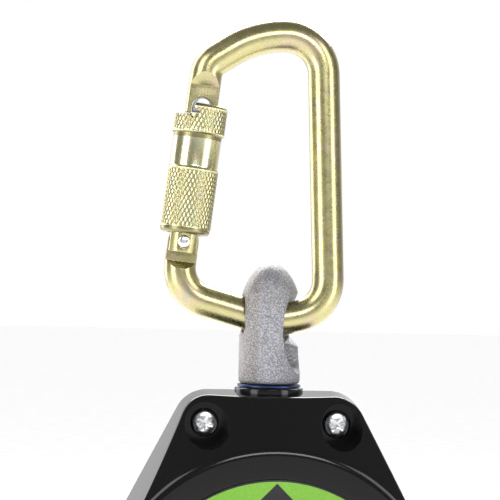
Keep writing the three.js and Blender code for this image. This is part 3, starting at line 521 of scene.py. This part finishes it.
def silver_label():
    """A blank silver data plate with a dark border and empty ruled fields."""
    finish = Finish("silver_label", Metallic=0.3)
    x = finish.part_of_place(0)
    z = finish.part_of_place(2) - CENTRE.z
    border = (abs(x) > 24.4 * MM) + (abs(z) > 15.4 * MM)
    rows = z * 160
    rule = (rows.math("FRACT", rows) < 0.08) * (abs(x) < 22 * MM)
    brushed = finish.noise(1200, 3)
    silver = finish.ramp(brushed, [(0.3, (0.52, 0.53, 0.54)), (0.7, (0.66, 0.67, 0.68))])
    ink = finish.blend((border + rule) > 0.5, silver, colour(0.03, 0.03, 0.035))
    normal = finish.bump(brushed, 0.08)
    return finish.set(Base_Color=ink, Roughness=brushed * 0.12 + 0.3, Normal=normal)


def wire_winding():
    """Layers of wire rope seen as a winding: strands across the rim."""
    finish = Finish("wire_winding", Metallic=0.9)
    waves = finish.node("TexWave", {"wave_type": "BANDS", "bands_direction": "Y"}, {
        "Vector": finish.place(), "Scale": 66.0, "Distortion": 1.5, "Detail": 2.0,
    }, output=1)
    shade = finish.ramp(waves, [(0.1, (0.12, 0.12, 0.13)), (0.6, (0.45, 0.46, 0.48))])
    normal = finish.bump(waves, 0.8, 0.0008)
    return finish.set(Base_Color=shade, Roughness=waves * 0.2 + 0.35, Normal=normal)


FINISHES = {
    "chromate_steel": chromate_steel(),
    "cast_grey": cast_grey(),
    "black_plastic": gloss_black(),
    "bright_steel": steel("bright_steel", (0.78, 0.79, 0.81), 0.14),
    "plain_steel": steel("plain_steel", (0.50, 0.51, 0.53), 0.30),
    "blued_steel": steel("blued_steel", (0.035, 0.05, 0.13), 0.30),
    "bronze": steel("bronze", (0.52, 0.37, 0.18), 0.38, 1500),
    "spring_steel": steel("spring_steel", (0.28, 0.30, 0.34), 0.30),
    "friction_lining": friction_lining(),
    "green_print": green_label(),
    "silver_print": silver_label(),
    "wire_rope": wire_winding(),
    "aluminium": steel("cast_aluminium", (0.62, 0.63, 0.65), 0.40, 1200),
}
SLEEVE_FINISH = polished_chromate()


def finish_piece(obj, slot, body, *nodes, material=None):
    """Gives a new piece its material, its body and the CAD nodes that it stands for."""
    obj.data.materials.clear()
    obj.data.materials.append(material or FINISHES[slot])
    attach(obj, body)
    if nodes:
        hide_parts(*nodes)
    return obj


# ---------------------------------------------------------------- camera, floor and light
def studio():
    eye_point = Vector((-59.5, -565.1, -80.6)) * MM
    yaw, pitch = math.radians(5.24), math.radians(1.12)
    flat = math.cos(pitch)
    heading = Vector((math.sin(yaw) * flat, math.cos(yaw) * flat, math.sin(pitch)))
    bpy.ops.object.camera_add(location=eye_point)
    camera = bpy.context.object
    camera.data.lens = 116.95
    camera.data.sensor_width = 36
    camera.data.clip_start = 0.01
    aim = heading.to_track_quat("-Z", "Y").to_matrix().to_4x4()
    roll = Matrix.Rotation(math.radians(1.32), 4, "Z")
    camera.matrix_world = Matrix.Translation(eye_point) @ aim @ roll
    bpy.context.scene.camera = camera

    bpy.ops.mesh.primitive_plane_add(size=16, location=(0, 0, -0.34))
    floor = named("studio_floor")
    paper = Finish("pale_paper", Roughness=0.9)
    fibre = paper.noise(40, 3)
    tone = paper.ramp(fibre, [(0.3, (0.9, 0.9, 0.9)), (0.7, (0.94, 0.94, 0.94))])
    floor.data.materials.append(paper.set(Base_Color=tone))

    world = bpy.data.worlds.new("soft_white")
    bpy.context.scene.world = world
    world.use_nodes = True
    nodes, links = world.node_tree.nodes, world.node_tree.links
    room = nodes["Background"]
    room.inputs["Color"].default_value = colour(1, 1, 1)
    facing = nodes.new("ShaderNodeSeparateXYZ")
    links.new(nodes.new("ShaderNodeTexCoord").outputs["Generated"], facing.inputs[0])
    wall = nodes.new("ShaderNodeMapRange")
    for socket, value in (("From Min", 0.3), ("From Max", 0.85), ("To Min", 0.3), ("To Max", 1.0)):
        wall.inputs[socket].default_value = value
    links.new(facing.outputs["Y"], wall.inputs["Value"])
    links.new(wall.outputs[0], room.inputs["Strength"])
    backdrop = nodes.new("ShaderNodeBackground")
    backdrop.inputs["Color"].default_value = colour(1, 1, 1)
    backdrop.inputs["Strength"].default_value = 1.0
    seen = nodes.new("ShaderNodeLightPath")
    mix = nodes.new("ShaderNodeMixShader")
    links.new(seen.outputs["Is Camera Ray"], mix.inputs[0])
    links.new(room.outputs[0], mix.inputs[1])
    links.new(backdrop.outputs[0], mix.inputs[2])
    links.new(mix.outputs[0], nodes["World Output"].inputs["Surface"])
    bpy.context.scene.view_settings.view_transform = "Standard"

    bpy.ops.object.light_add(type="SUN", location=(0, 0.5, 1), rotation=(math.radians(-28), 0, 0))
    sky = named("soft_sky")
    sky.data.energy = 2.3
    sky.visible_glossy = False
    sky.data.angle = math.radians(60)
    for name, place, size, power in (
        ("key_left", (-0.74, -0.52, 0.12), (0.40, 1.3), 8.2),
        ("fill_right", (0.66, -0.56, 0.0), (0.34, 1.2), 5.8),
        ("front_strip", (0.12, -1.0, 0.35), (0.5, 0.25), 4),
        ("back_left", (-0.6, 0.5, 0.2), (0.4, 1.0), 5),
        ("back_top", (0.1, 0.75, 0.6), (1.1, 0.3), 15),
    ):
        bpy.ops.object.light_add(type="AREA", location=place)
        lamp = bpy.context.object
        lamp.name = name
        lamp.data.shape = "RECTANGLE"
        lamp.data.size, lamp.data.size_y = size
        lamp.data.energy = power
        aim = Vector((0, 0, -0.1)) - Vector(place)
        lamp.rotation_euler = aim.to_track_quat("-Z", "Y").to_euler()


# ---------------------------------------------------------------- carabiner
def on_gate(obj):
    """Leans a piece that was drawn upright about the hinge pin."""
    obj.data.transform(GATE_MATRIX)
    return obj


def meet(p, a, q, b):
    """Where the line through p with slope a meets the line through q with slope b, in degrees."""
    da = Vector((math.cos(math.radians(a)), math.sin(math.radians(a))))
    db = Vector((math.cos(math.radians(b)), math.sin(math.radians(b))))
    gap = q - p
    return p + da * ((gap.x * db.y - gap.y * db.x) / (da.x * db.y - da.y * db.x))


def gate_point(along):
    return Vector((PIN.x + along * math.sin(GATE_LEAN), PIN.z + along * math.cos(GATE_LEAN)))


def bar_path():
    """The bar's centre line from the nose over the top, down the spine and back to the hinge."""
    top_z = BAR_RADIUS + 0.2 * MM
    lean = math.degrees(GATE_LEAN)
    top = Vector((-7 * MM, top_z))
    spine = Vector((16.45 * MM, top_z))
    half_turn = math.radians((RIGHT_FOOT_SLOPE - LEFT_FOOT_SLOPE) / 2)
    sag = LOAD_BEND * (1 / math.cos(half_turn) - 1)
    load = Vector((1 * MM, -LOAD_DROP - sag))
    corners = [
        gate_point(NOSE_END),
        meet(top, TOP_SLOPE, gate_point(0), 90 - lean),
        top,
        spine,
        meet(spine, SPINE_SLOPE, load, RIGHT_FOOT_SLOPE),
        load,
        meet(load, LEFT_FOOT_SLOPE, gate_point(0), 90 - lean),
        gate_point(-3.7 * MM),
    ]
    bends = [6 * MM, 36 * MM, 13.3 * MM, 12.8 * MM, LOAD_BEND, 12 * MM]
    steps = 14
    points = [corners[0]]
    for before, corner, after, bend in zip(corners, corners[1:], corners[2:], bends):
        arc = rounded([before, corner, after], [1e-6, bend, 1e-6], steps)
        points += arc[steps + 1:2 * (steps + 1)]
    points.append(corners[-1])
    return points


def swept_bar(name, points, radius, sides, pitch):
    """A round bar along a flat path, cut into even steps."""
    lengths = [0.0]
    for a, b in zip(points, points[1:]):
        lengths.append(lengths[-1] + (b - a).length)
    count = int(lengths[-1] / pitch)
    spots = []
    k = 0
    for i in range(count + 1):
        want = lengths[-1] * i / count
        while k + 2 < len(lengths) and lengths[k + 1] < want:
            k += 1
        share = (want - lengths[k]) / max(lengths[k + 1] - lengths[k], 1e-9)
        spots.append(points[k].lerp(points[k + 1], share))
    for _ in range(2):
        spots = [spots[0]] + [
            (a + b * 2 + c) / 4 for a, b, c in zip(spots, spots[1:], spots[2:])
        ] + [spots[-1]]
    rings = []
    for i, spot in enumerate(spots):
        along = (spots[min(i + 1, count)] - spots[max(i - 1, 0)]).normalized()
        across = Vector((-along.y, along.x))
        ring = []
        for s in range(sides):
            turn = 2 * math.pi * s / sides
            flat = spot + across * radius * math.cos(turn)
            ring.append(Vector((flat.x, radius * math.sin(turn), flat.y)))
        rings.append(ring)
    return from_rings(name, rings)


def side_cutter(side, flat_end, shoulder_end, beyond):
    """Mills one flat on the bar, with a sloping shoulder."""
    inner = TONGUE / 2
    slope = (BAR_RADIUS - inner) / (shoulder_end - flat_end)
    outline = [
        (inner, beyond), (inner, flat_end),
        (CUT_REACH, flat_end + (CUT_REACH - inner) / slope), (CUT_REACH, beyond),
    ]
    rings = [[Vector((x, side * y, z)) for y, z in outline] for x in (-CUT_REACH, CUT_REACH)]
    return on_gate(from_rings("side_cutter", rings))


def stadium(name, half_width, low, high_centre, half_thickness, steps=24):
    """A plate with a round top, standing in the plane of the carabiner."""
    outline = []
    for i in range(steps + 1):
        turn = math.pi * i / steps
        outline.append((half_width * math.cos(turn), high_centre + half_width * math.sin(turn)))
    outline += [(-half_width, low), (half_width, low)]
    rings = [[Vector((x, y, z)) for x, z in outline] for y in (-half_thickness, half_thickness)]
    return from_rings(name, rings)


def carabiner():
    bar = swept_bar("carabiner_bar", bar_path(), BAR_RADIUS - BAR_SKIN, 48, 0.9 * MM)
    for side in (-1, 1):
        for flat_end, shoulder_end, beyond in (
            (NOSE_FLAT_TOP, NOSE_FLAT_TOP + NOSE_SHOULDER, NOSE_END - 3 * MM),
            (HINGE_FLAT_FOOT, HINGE_SHOULDER_FOOT, HINGE_FLAT_TOP),
        ):
            combine(bar, side_cutter(side, flat_end, shoulder_end, beyond), "DIFFERENCE")
    tongue = on_gate(stadium("hinge_tongue", BAR_RADIUS - SEAT_GAP, HINGE_FLAT_FOOT, 0, TONGUE / 2))
    combine(bar, tongue, "UNION")
    round_at = NOSE_END + 2.2 * MM
    window = on_gate(stadium("nose_window", 3.6 * MM, NOSE_END - 2 * MM, round_at, CUT_REACH))
    combine(bar, window, "DIFFERENCE")
    bore = on_gate(cylinder("pin_bore", 1.9 * MM, (0, -CUT_REACH, 0), (0, CUT_REACH, 0), 32))
    combine(bar, bore, "DIFFERENCE")
    soften(bar, 0.28 * MM, 2, 24)
    smooth(bar, 30)
    finish_piece(bar, "chromate_steel", "carabiner", "carabiner_body")

    keeper = on_gate(stadium(
        "nose_keeper_block", 3.3 * MM, NOSE_END + SEAT_GAP, round_at, TONGUE / 2 - 0.9 * MM,
    ))
    soften(keeper, 0.3 * MM, 2)
    smooth(keeper)
    finish_piece(keeper, "plain_steel", "carabiner", "nose_keeper")

    seat = BAR_RADIUS + SEAT_GAP
    profile = [(0.0001 * MM, -seat - 0.7 * MM)]
    for i in range(1, 9):
        turn = math.pi / 2 * i / 8
        profile.append((2.1 * MM * math.sin(turn), -seat - 0.7 * MM * math.cos(turn)))
    profile.append((1.6 * MM, -seat))
    profile += [(radius, -height) for radius, height in reversed(profile)]
    rivet = on_gate(lathe("hinge_rivet", profile, 40, axis="Y"))
    smooth(rivet, 40)
    finish_piece(rivet, "bright_steel", "carabiner", "gate_hinge_pin")


# ---------------------------------------------------------------- gate and sleeve
def gate():
    bar = copy_of("gate_bar", "gate_rod")
    soften(bar, 0.3 * MM, 2, 40)
    smooth(bar, 35)
    finish_piece(bar, "chromate_steel", "gate", "gate_bar")


def knurl_height(turn, along):
    """Diamond pyramids: two crossing sets of helical grooves."""
    a = (turn / (2 * math.pi) * KNURL_DIAMONDS + along / KNURL_PITCH) % 1
    b = (turn / (2 * math.pi) * KNURL_DIAMONDS - along / KNURL_PITCH) % 1
    return min(1 - abs(2 * a - 1), 1 - abs(2 * b - 1))


def knurled_band(start, end, radius):
    count = round((end - start) / KNURL_STEP)
    rows = []
    for i in range(count + 1):
        along = start + (end - start) * i / count
        edge = min(1.0, min(along - start, end - along) / (0.5 * MM))
        rows.append((along, radius, edge))
    return rows


def sleeve():
    """A tube of rows, each (height, radius, share of the knurl's full depth)."""
    around = 4 * KNURL_DIAMONDS

    foot_radius, foot_bend = 7.3 * MM, 1.3 * MM
    rows = [(SLEEVE_START, SLEEVE_BORE, 0), (SLEEVE_START, foot_radius, 0)]
    for i in range(1, 6):
        turn = math.pi / 2 * i / 6
        along = SLEEVE_START + foot_bend * (1 - math.cos(turn))
        rows.append((along, foot_radius + foot_bend * math.sin(turn), 0))
    rows += [(SLEEVE_START + foot_bend, 8.62 * MM, 0), (SLEEVE_START + 1.9 * MM, 8.62 * MM, 0)]
    rows += knurled_band(SLEEVE_START + 2.0 * MM, LOW_KNURL_END - 0.5 * MM, LOW_KNURL_RADIUS)
    rows += [
        (LOW_KNURL_END, SLEEVE_NECK + 0.2 * MM, 0),
        (LOW_KNURL_END + 0.3 * MM, SLEEVE_NECK + 0.05 * MM, 0),
        (LOW_KNURL_END + 0.8 * MM, SLEEVE_NECK, 0),
        (HIGH_KNURL_START - 0.8 * MM, SLEEVE_NECK, 0),
        (HIGH_KNURL_START - 0.3 * MM, SLEEVE_NECK + 0.1 * MM, 0),
        (HIGH_KNURL_START, LOW_KNURL_RADIUS, 0),
    ]
    rows += knurled_band(HIGH_KNURL_START + 0.4 * MM, SLEEVE_END - 1.0 * MM, HIGH_KNURL_RADIUS)
    rows += [
        (SLEEVE_END - 0.7 * MM, 8.95 * MM, 0),
        (SLEEVE_END - 0.25 * MM, 8.8 * MM, 0),
        (SLEEVE_END, 8.5 * MM, 0),
        (SLEEVE_END, SLEEVE_BORE + 0.3 * MM, 0),
        (SLEEVE_END - 0.3 * MM, SLEEVE_BORE, 0),
    ]
    rings = []
    for along, radius, edge in rows:
        ring = []
        for s in range(around):
            turn = 2 * math.pi * s / around
            reach = radius - KNURL_DEPTH * edge * (1 - knurl_height(turn, along))
            ring.append(Vector((reach * math.cos(turn), reach * math.sin(turn), along)))
        rings.append(ring)
    body = from_rings("twist_sleeve", rings, close_loop=True)

    steps, reach = 40, 12 * MM
    outline = [Vector((0, 0))]
    for i in range(steps + 1):
        turn = NOTCH_START + (NOTCH_END - NOTCH_START) * i / steps
        outline.append(Vector((-reach * math.sin(turn), -reach * math.cos(turn))))
    notch = from_rings("rim_notch", [
        [Vector((p.x, p.y, z)) for p in outline] for z in (LOW_RIM, SLEEVE_END + 3 * MM)
    ])
    combine(body, notch, "DIFFERENCE")

    out = Vector((-math.sin(NOTCH_START), -math.cos(NOTCH_START), 0))
    relief_place = out * 8 * MM + Vector((0, 0, LOW_RIM + 0.4 * MM))
    bpy.ops.mesh.primitive_cylinder_add(
        vertices=32, radius=1.8 * MM, depth=9 * MM, location=relief_place,
    )
    relief = named("rim_relief")
    relief.rotation_euler = out.to_track_quat("Z", "Y").to_euler()
    settle(relief)
    combine(body, relief, "DIFFERENCE")
    on_gate(body)
    smooth(body, 28)
    finish_piece(body, "chromate_steel", "sleeve", "lock_sleeve", material=SLEEVE_FINISH)


# ---------------------------------------------------------------- swivel eye
def scale_across(vertex, share):
    vertex.co.x *= share
    vertex.co.y *= share


def eye_hole(crown):
    """The eye's opening: tall towards the open side, low where the bar runs straight."""
    slices, sides = 14, 72
    power = 2 / HOLE_SQUARENESS
    rings = []
    for i in range(-slices, slices + 1):
        u = i / slices * (EYE_RADIUS + 1.2 * MM)
        flare = 0.46 * (u / EYE_RADIUS) ** 2
        open_side = smoothstep(-EYE_BLEND, EYE_BLEND, u)
        half_height = (5.95 + 4.15 * open_side) * MM
        flared, straight = 9.1 * MM * (1 + flare), 8.6 * MM
        near_width = (8.3 + 0.3 * open_side) * MM
        far_width = straight + (flared - straight) * open_side
        ring = []
        for k in range(sides):
            turn = 2 * math.pi * k / sides
            c, s = math.cos(turn), math.sin(turn)
            across = math.copysign(abs(c) ** power, c)
            up = math.copysign(abs(s) ** power, s)
            far_foot = open_side * smoothstep(0.18, 0.45, -up)
            width = near_width if c > 0 else far_width * (1 - 0.5 * far_foot)
            tall = half_height * (1 + flare * (open_side if up < 0 else 1.3 - 0.3 * open_side))
            ring.append(Vector((across * width, u, crown - half_height + up * tall)))
        bend = Matrix.Rotation(EYE_BEND * (1 - smoothstep(-6 * MM, 2 * MM, u)), 3, "Z")
        rings.append([bend @ point for point in ring])
    hole = from_rings("eye_hole", rings)
    hole.data.transform(Matrix.Rotation(math.pi + EYE_TURN, 4, "Z"))
    return hole


def swivel_eye():
    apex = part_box("swivel_eye")[1].z
    base = apex - EYE_HEIGHT
    profile = [
        (0.001 * MM, base), (EYE_RADIUS - 0.9 * MM, base),
        (EYE_RADIUS - 0.2 * MM, base + 0.4 * MM), (EYE_RADIUS, base + 1.2 * MM),
    ]
    steps = 30
    for i in range(steps):
        turn = math.pi / 2 * i / steps
        profile.append((EYE_RADIUS * math.cos(turn), apex - EYE_DOME + EYE_DOME * math.sin(turn)))
    profile.append((0.001 * MM, apex))
    body = lathe("eye_casting", profile, 96)
    for vertex in body.data.vertices:
        reach = math.hypot(vertex.co.x, vertex.co.y)
        c, s = abs(vertex.co.x) / reach, abs(vertex.co.y) / reach
        square = (c ** EYE_SQUARENESS + s ** EYE_SQUARENESS) ** (-1 / EYE_SQUARENESS)
        flank = 1 - smoothstep(-EYE_BLEND, EYE_BLEND, vertex.co.x)
        rise = smoothstep(base + 1 * MM, base + 13 * MM, vertex.co.z)
        scale_across(vertex, 1 + (square - 1) * flank * rise)
    combine(body, eye_hole(apex - EYE_CROWN), "DIFFERENCE")
    modify(body, "REMESH", mode="VOXEL", voxel_size=0.36 * MM)
    modify(body, "SMOOTH", factor=0.6, iterations=3)
    for vertex in body.data.vertices:
        turn = math.atan2(vertex.co.y, vertex.co.x) - EYE_CREASE
        away = abs((turn + math.pi / 2) % math.pi - math.pi / 2)
        scale_across(vertex, 1 - 0.05 * (1 - math.exp(-away / 0.09)))
    smooth(body, 60)
    finish_piece(body, "cast_grey", "eye", "swivel_eye")


# ---------------------------------------------------------------- housing
def housing_outline(steps):
    """The housing's outline at the parting plane about its centre, as (point, outward normal)."""
    reach = BODY_RADIUS / math.cos((SHOULDER_ANGLE + FOOT_ANGLE) / 2)
    middle = (SHOULDER_ANGLE - FOOT_ANGLE) / 2
    foot_x = (BODY_RADIUS - FOOT_DEPTH * math.sin(FOOT_ANGLE)) / math.cos(FOOT_ANGLE)
    corners = [Vector(p) for p in (
        (TOP_HALF_WIDTH, SHOULDER_HEIGHT), (-TOP_HALF_WIDTH, SHOULDER_HEIGHT),
        (-reach * math.cos(middle), reach * math.sin(middle)),
        (-foot_x, -FOOT_DEPTH), (foot_x, -FOOT_DEPTH),
        (reach * math.cos(middle), reach * math.sin(middle)),
    )]
    radii = [12 * MM, 12 * MM, BODY_RADIUS, 10 * MM, 10 * MM, BODY_RADIUS]
    points = rounded(corners, radii, steps)
    dense = []
    for a, b in zip(points, points[1:] + points[:1]):
        pieces = max(1, round((b - a).length / (3.5 * MM)))
        dense += [a.lerp(b, k / pieces) for k in range(pieces)]
    normals = []
    for a, b in zip(dense[-1:] + dense[:-1], dense[1:] + dense[:1]):
        along = (b - a).normalized()
        normals.append(Vector((along.y, -along.x)))
    return list(zip(dense, normals))


def fillet_chain(points, radii, steps):
    """Rounds an open chain of 2-D points; every corner gives the same number of points."""
    out = [points[0]]
    for i in range(1, len(points) - 1):
        here = points[i]
        back, ahead = points[i - 1] - here, points[i + 1] - here
        half = back.angle(ahead) / 2
        limit = 0.48 * min(back.length, ahead.length) * math.tan(half)
        radius = min(radii[i - 1], limit)
        arc = rounded([points[i - 1], here, points[i + 1]], [1e-9, radius, 1e-9], steps)
        out += arc[steps + 1:2 * (steps + 1)]
    out.append(points[-1])
    return out


def shell_rings(side, inset, recess_radius, recess_depth):
    """Rings of the cover's outer surface from the parting edge to the middle of its face."""
    rings = None
    for point, normal in housing_outline(18):
        reach = point.length - inset
        ray = point.normalized()
        lean = DRAFT / max(0.2, normal.dot(ray))
        depth = HALF_DEPTH - inset
        rim = PLATEAU - inset * (math.sqrt(1 + CONE_FALL ** 2) - 1) / CONE_FALL
        meet_y = (rim + depth / CONE_FALL - reach) / (1 / CONE_FALL - lean)
        meet_y = min(meet_y, depth - 0.8 * MM)
        chain = [
            Vector((reach - 0.5 * MM, PARTING)),
            Vector((reach, PARTING)),
            Vector((reach - lean * meet_y, meet_y)),
            Vector((rim, depth)),
            Vector((recess_radius, depth)),
        ]
        curve = fillet_chain(chain, [0.3 * MM, 2.6 * MM, 4.0 * MM], 7)
        if recess_depth:
            curve[-1] = Vector((recess_radius + 0.25 * MM, depth))
            curve += [
                Vector((recess_radius + 0.07 * MM, depth - 0.07 * MM)),
                Vector((recess_radius, depth - 0.25 * MM)),
                Vector((recess_radius, depth - recess_depth)),
            ]
        if rings is None:
            rings = [[] for _ in curve]
        for ring, spot in zip(rings, curve):
            flat = ray * spot.x
            ring.append(Vector((flat.x, side * spot.y, flat.y)) + CENTRE)
    return rings


def cover(side, name, node):
    """One half of the housing: side is -1 for the front and 1 for the rear."""
    recess = LABEL_RADIUS + SEAT_GAP if side < 0 else 20 * MM
    depth = LABEL_THICKNESS + SEAT_GAP if side < 0 else 0
    shell = from_rings(name, shell_rings(side, 0, recess, depth))
    bulk = twin(shell)
    inner = shell_rings(side, WALL, 20 * MM, 0)
    for k in (0, 1):
        inner[k] = [point - Vector((0, side * 2 * MM, 0)) for point in inner[k]]
    cavity = from_rings("cavity", inner)
    combine(shell, cavity, "DIFFERENCE")

    collar_low = CENTRE.z + SHOULDER_HEIGHT - 1.2 * MM
    collar_top = CENTRE.z + SHOULDER_HEIGHT + 0.9 * MM
    collar = cylinder("collar", COLLAR_RADIUS, (0, 0, collar_low), (0, 0, collar_top), 96, "Z")
    soften(collar, 0.35 * MM, 3)
    y_near, y_far = sorted((side * PARTING, side * 30 * MM))
    half = block(
        "half_space",
        (-60 * MM, y_near, collar_low - 5 * MM), (60 * MM, y_far, collar_top + 5 * MM),
    )
    combine(collar, half, "INTERSECT")
    combine(shell, collar, "UNION")
    foot = CENTRE.z - FOOT_DEPTH
    for label, radius, start, end in (
        ("shank_hole", SHANK_HOLE, collar_low - 20 * MM, collar_top + 5 * MM),
        ("outlet_hole", OUTLET_HOLE, foot - 9 * MM, foot + 20 * MM),
    ):
        combine(shell, cylinder(label, radius, (0, 0, start), (0, 0, end), 64, "Z"), "DIFFERENCE")
    if side < 0:
        for i in range(1, 5):
            middle = sum(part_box(f"cover_screw_{i}"), Vector()) / 2
            x, z = middle.x, middle.z
            boss = cylinder(
                "boss", COUNTERBORE + BOSS_WALL, (x, -3 * MM, z), (x, -HALF_DEPTH - MM, z), 96,
            )
            combine(boss, twin(bulk), "INTERSECT")
            combine(shell, boss, "UNION")
            well = cylinder(
                "well", COUNTERBORE, (x, -SCREW_SEAT, z), (x, -HALF_DEPTH - 3 * MM, z), 96,
            )
            combine(shell, well, "DIFFERENCE")
    bpy.data.objects.remove(bulk)
    if side > 0:
        plate = block(
            "plate_recess",
            (-PLATE_HALF_WIDTH, HALF_DEPTH - 0.8 * MM, CENTRE.z - PLATE_HALF_HEIGHT),
            (PLATE_HALF_WIDTH, HALF_DEPTH + 2 * MM, CENTRE.z + PLATE_HALF_HEIGHT),
        )
        combine(shell, plate, "DIFFERENCE")
    soften(shell, 0.55 * MM, 3, 38)
    smooth(shell, 40)
    modify(shell, "WEIGHTED_NORMAL", keep_sharp=True)
    finish_piece(shell, "black_plastic", "housing", node)


def labels():
    disc = cylinder(
        "label_disc", LABEL_RADIUS, (0, -HALF_DEPTH, CENTRE.z),
        (0, -HALF_DEPTH + LABEL_THICKNESS, CENTRE.z), 160,
    )
    soften(disc, 0.12 * MM, 2)
    smooth(disc)
    finish_piece(disc, "green_print", "housing", "front_label")
    plate = copy_of("rear_label", "data_plate")
    soften(plate, 0.12 * MM, 2)
    smooth(plate)
    finish_piece(plate, "silver_print", "housing", "rear_label")


def screws():
    """Pan heads with a cross recess, one mesh each."""
    for i in range(1, 5):
        low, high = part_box(f"cover_screw_{i}")
        x, z = (low.x + high.x) / 2, (low.z + high.z) / 2
        top, seat = low.y, low.y + 3 * MM
        profile = [(0.0001 * MM, top)]
        for k in range(1, 12):
            turn = math.pi / 2 * k / 11
            spread = math.sin(turn) ** 0.75
            profile.append((SCREW_HEAD_RADIUS * spread, top + 1.7 * MM * (1 - math.cos(turn))))
        profile += [
            (SCREW_HEAD_RADIUS, seat - 0.15 * MM), (SCREW_HEAD_RADIUS - 0.15 * MM, seat),
            (SCREW_SHANK_RADIUS, seat), (SCREW_SHANK_RADIUS, high.y), (0.0001 * MM, high.y),
        ]
        screw = lathe(f"pan_screw_{i}", profile, 64, (x, 0, z), "Y")
        for turn, length, width, depth in (
            (0, 5.8, 1.25, 1.9), (math.pi / 2, 5.8, 1.25, 1.9),
            (math.pi / 4, 4.4, 0.5, 1.1), (-math.pi / 4, 4.4, 0.5, 1.1),
        ):
            bpy.ops.mesh.primitive_cube_add(
                size=1, location=(x, top + (depth / 2 - 1) * MM, z),
                rotation=(0, turn + 0.35 * i, 0),
                scale=(length * MM, (depth + 2) * MM, width * MM),
            )
            combine(screw, settle(named("slot")), "DIFFERENCE")
        soften(screw, 0.1 * MM, 2, 35)
        smooth(screw, 40)
        finish_piece(screw, "bright_steel", "housing", f"cover_screw_{i}")


def outlet():
    low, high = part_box("outlet_guide")
    flange = low.z + 3 * MM
    throat, mouth_bend = 4.2 * MM, 2.4 * MM
    profile = [(throat, high.z)]
    for i in range(7):
        turn = math.pi / 2 * i / 6
        out, up = 1 - math.cos(turn), 1 - math.sin(turn)
        profile.append((throat + mouth_bend * out, low.z + mouth_bend * up))
    rim, barrel = 12 * MM, 8.6 * MM
    profile += [
        (rim - 0.8 * MM, low.z), (rim - 0.2 * MM, low.z + 0.3 * MM), (rim, low.z + 0.9 * MM),
        (rim, flange - 0.3 * MM), (rim - 0.3 * MM, flange), (barrel, flange), (barrel, high.z),
    ]
    guide = lathe("outlet_bush", profile, 80)
    smooth(guide, 35)
    finish_piece(guide, "black_plastic", "housing", "outlet_guide")


def washer():
    low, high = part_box("eye_washer")
    hole, radius, edge = 5.3 * MM, 11 * MM, 0.2 * MM
    ring = lathe("blue_washer", [
        (hole, low.z), (radius - edge, low.z), (radius, low.z + edge),
        (radius, high.z - edge), (radius - edge, high.z), (hole, high.z),
    ], 96)
    smooth(ring, 40)
    finish_piece(ring, "blued_steel", "housing", "eye_washer")


# ---------------------------------------------------------------- pieces that stay as built
def carried_over():
    """Inner pieces keep their shape and get their own finish."""
    slots = {part["node"]: part["material_slot"] for part in frame["record"]["subparts"]}
    for name, obj in frame["nodes"].items():
        obj.data.materials.clear()
        obj.data.materials.append(FINISHES[slots[name]])


studio()
carried_over()
carabiner()
gate()
sleeve()
swivel_eye()
cover(-1, "front_shell", "front_cover")
cover(1, "rear_shell", "rear_cover")
labels()
screws()
outlet()
washer()
clear_selection()
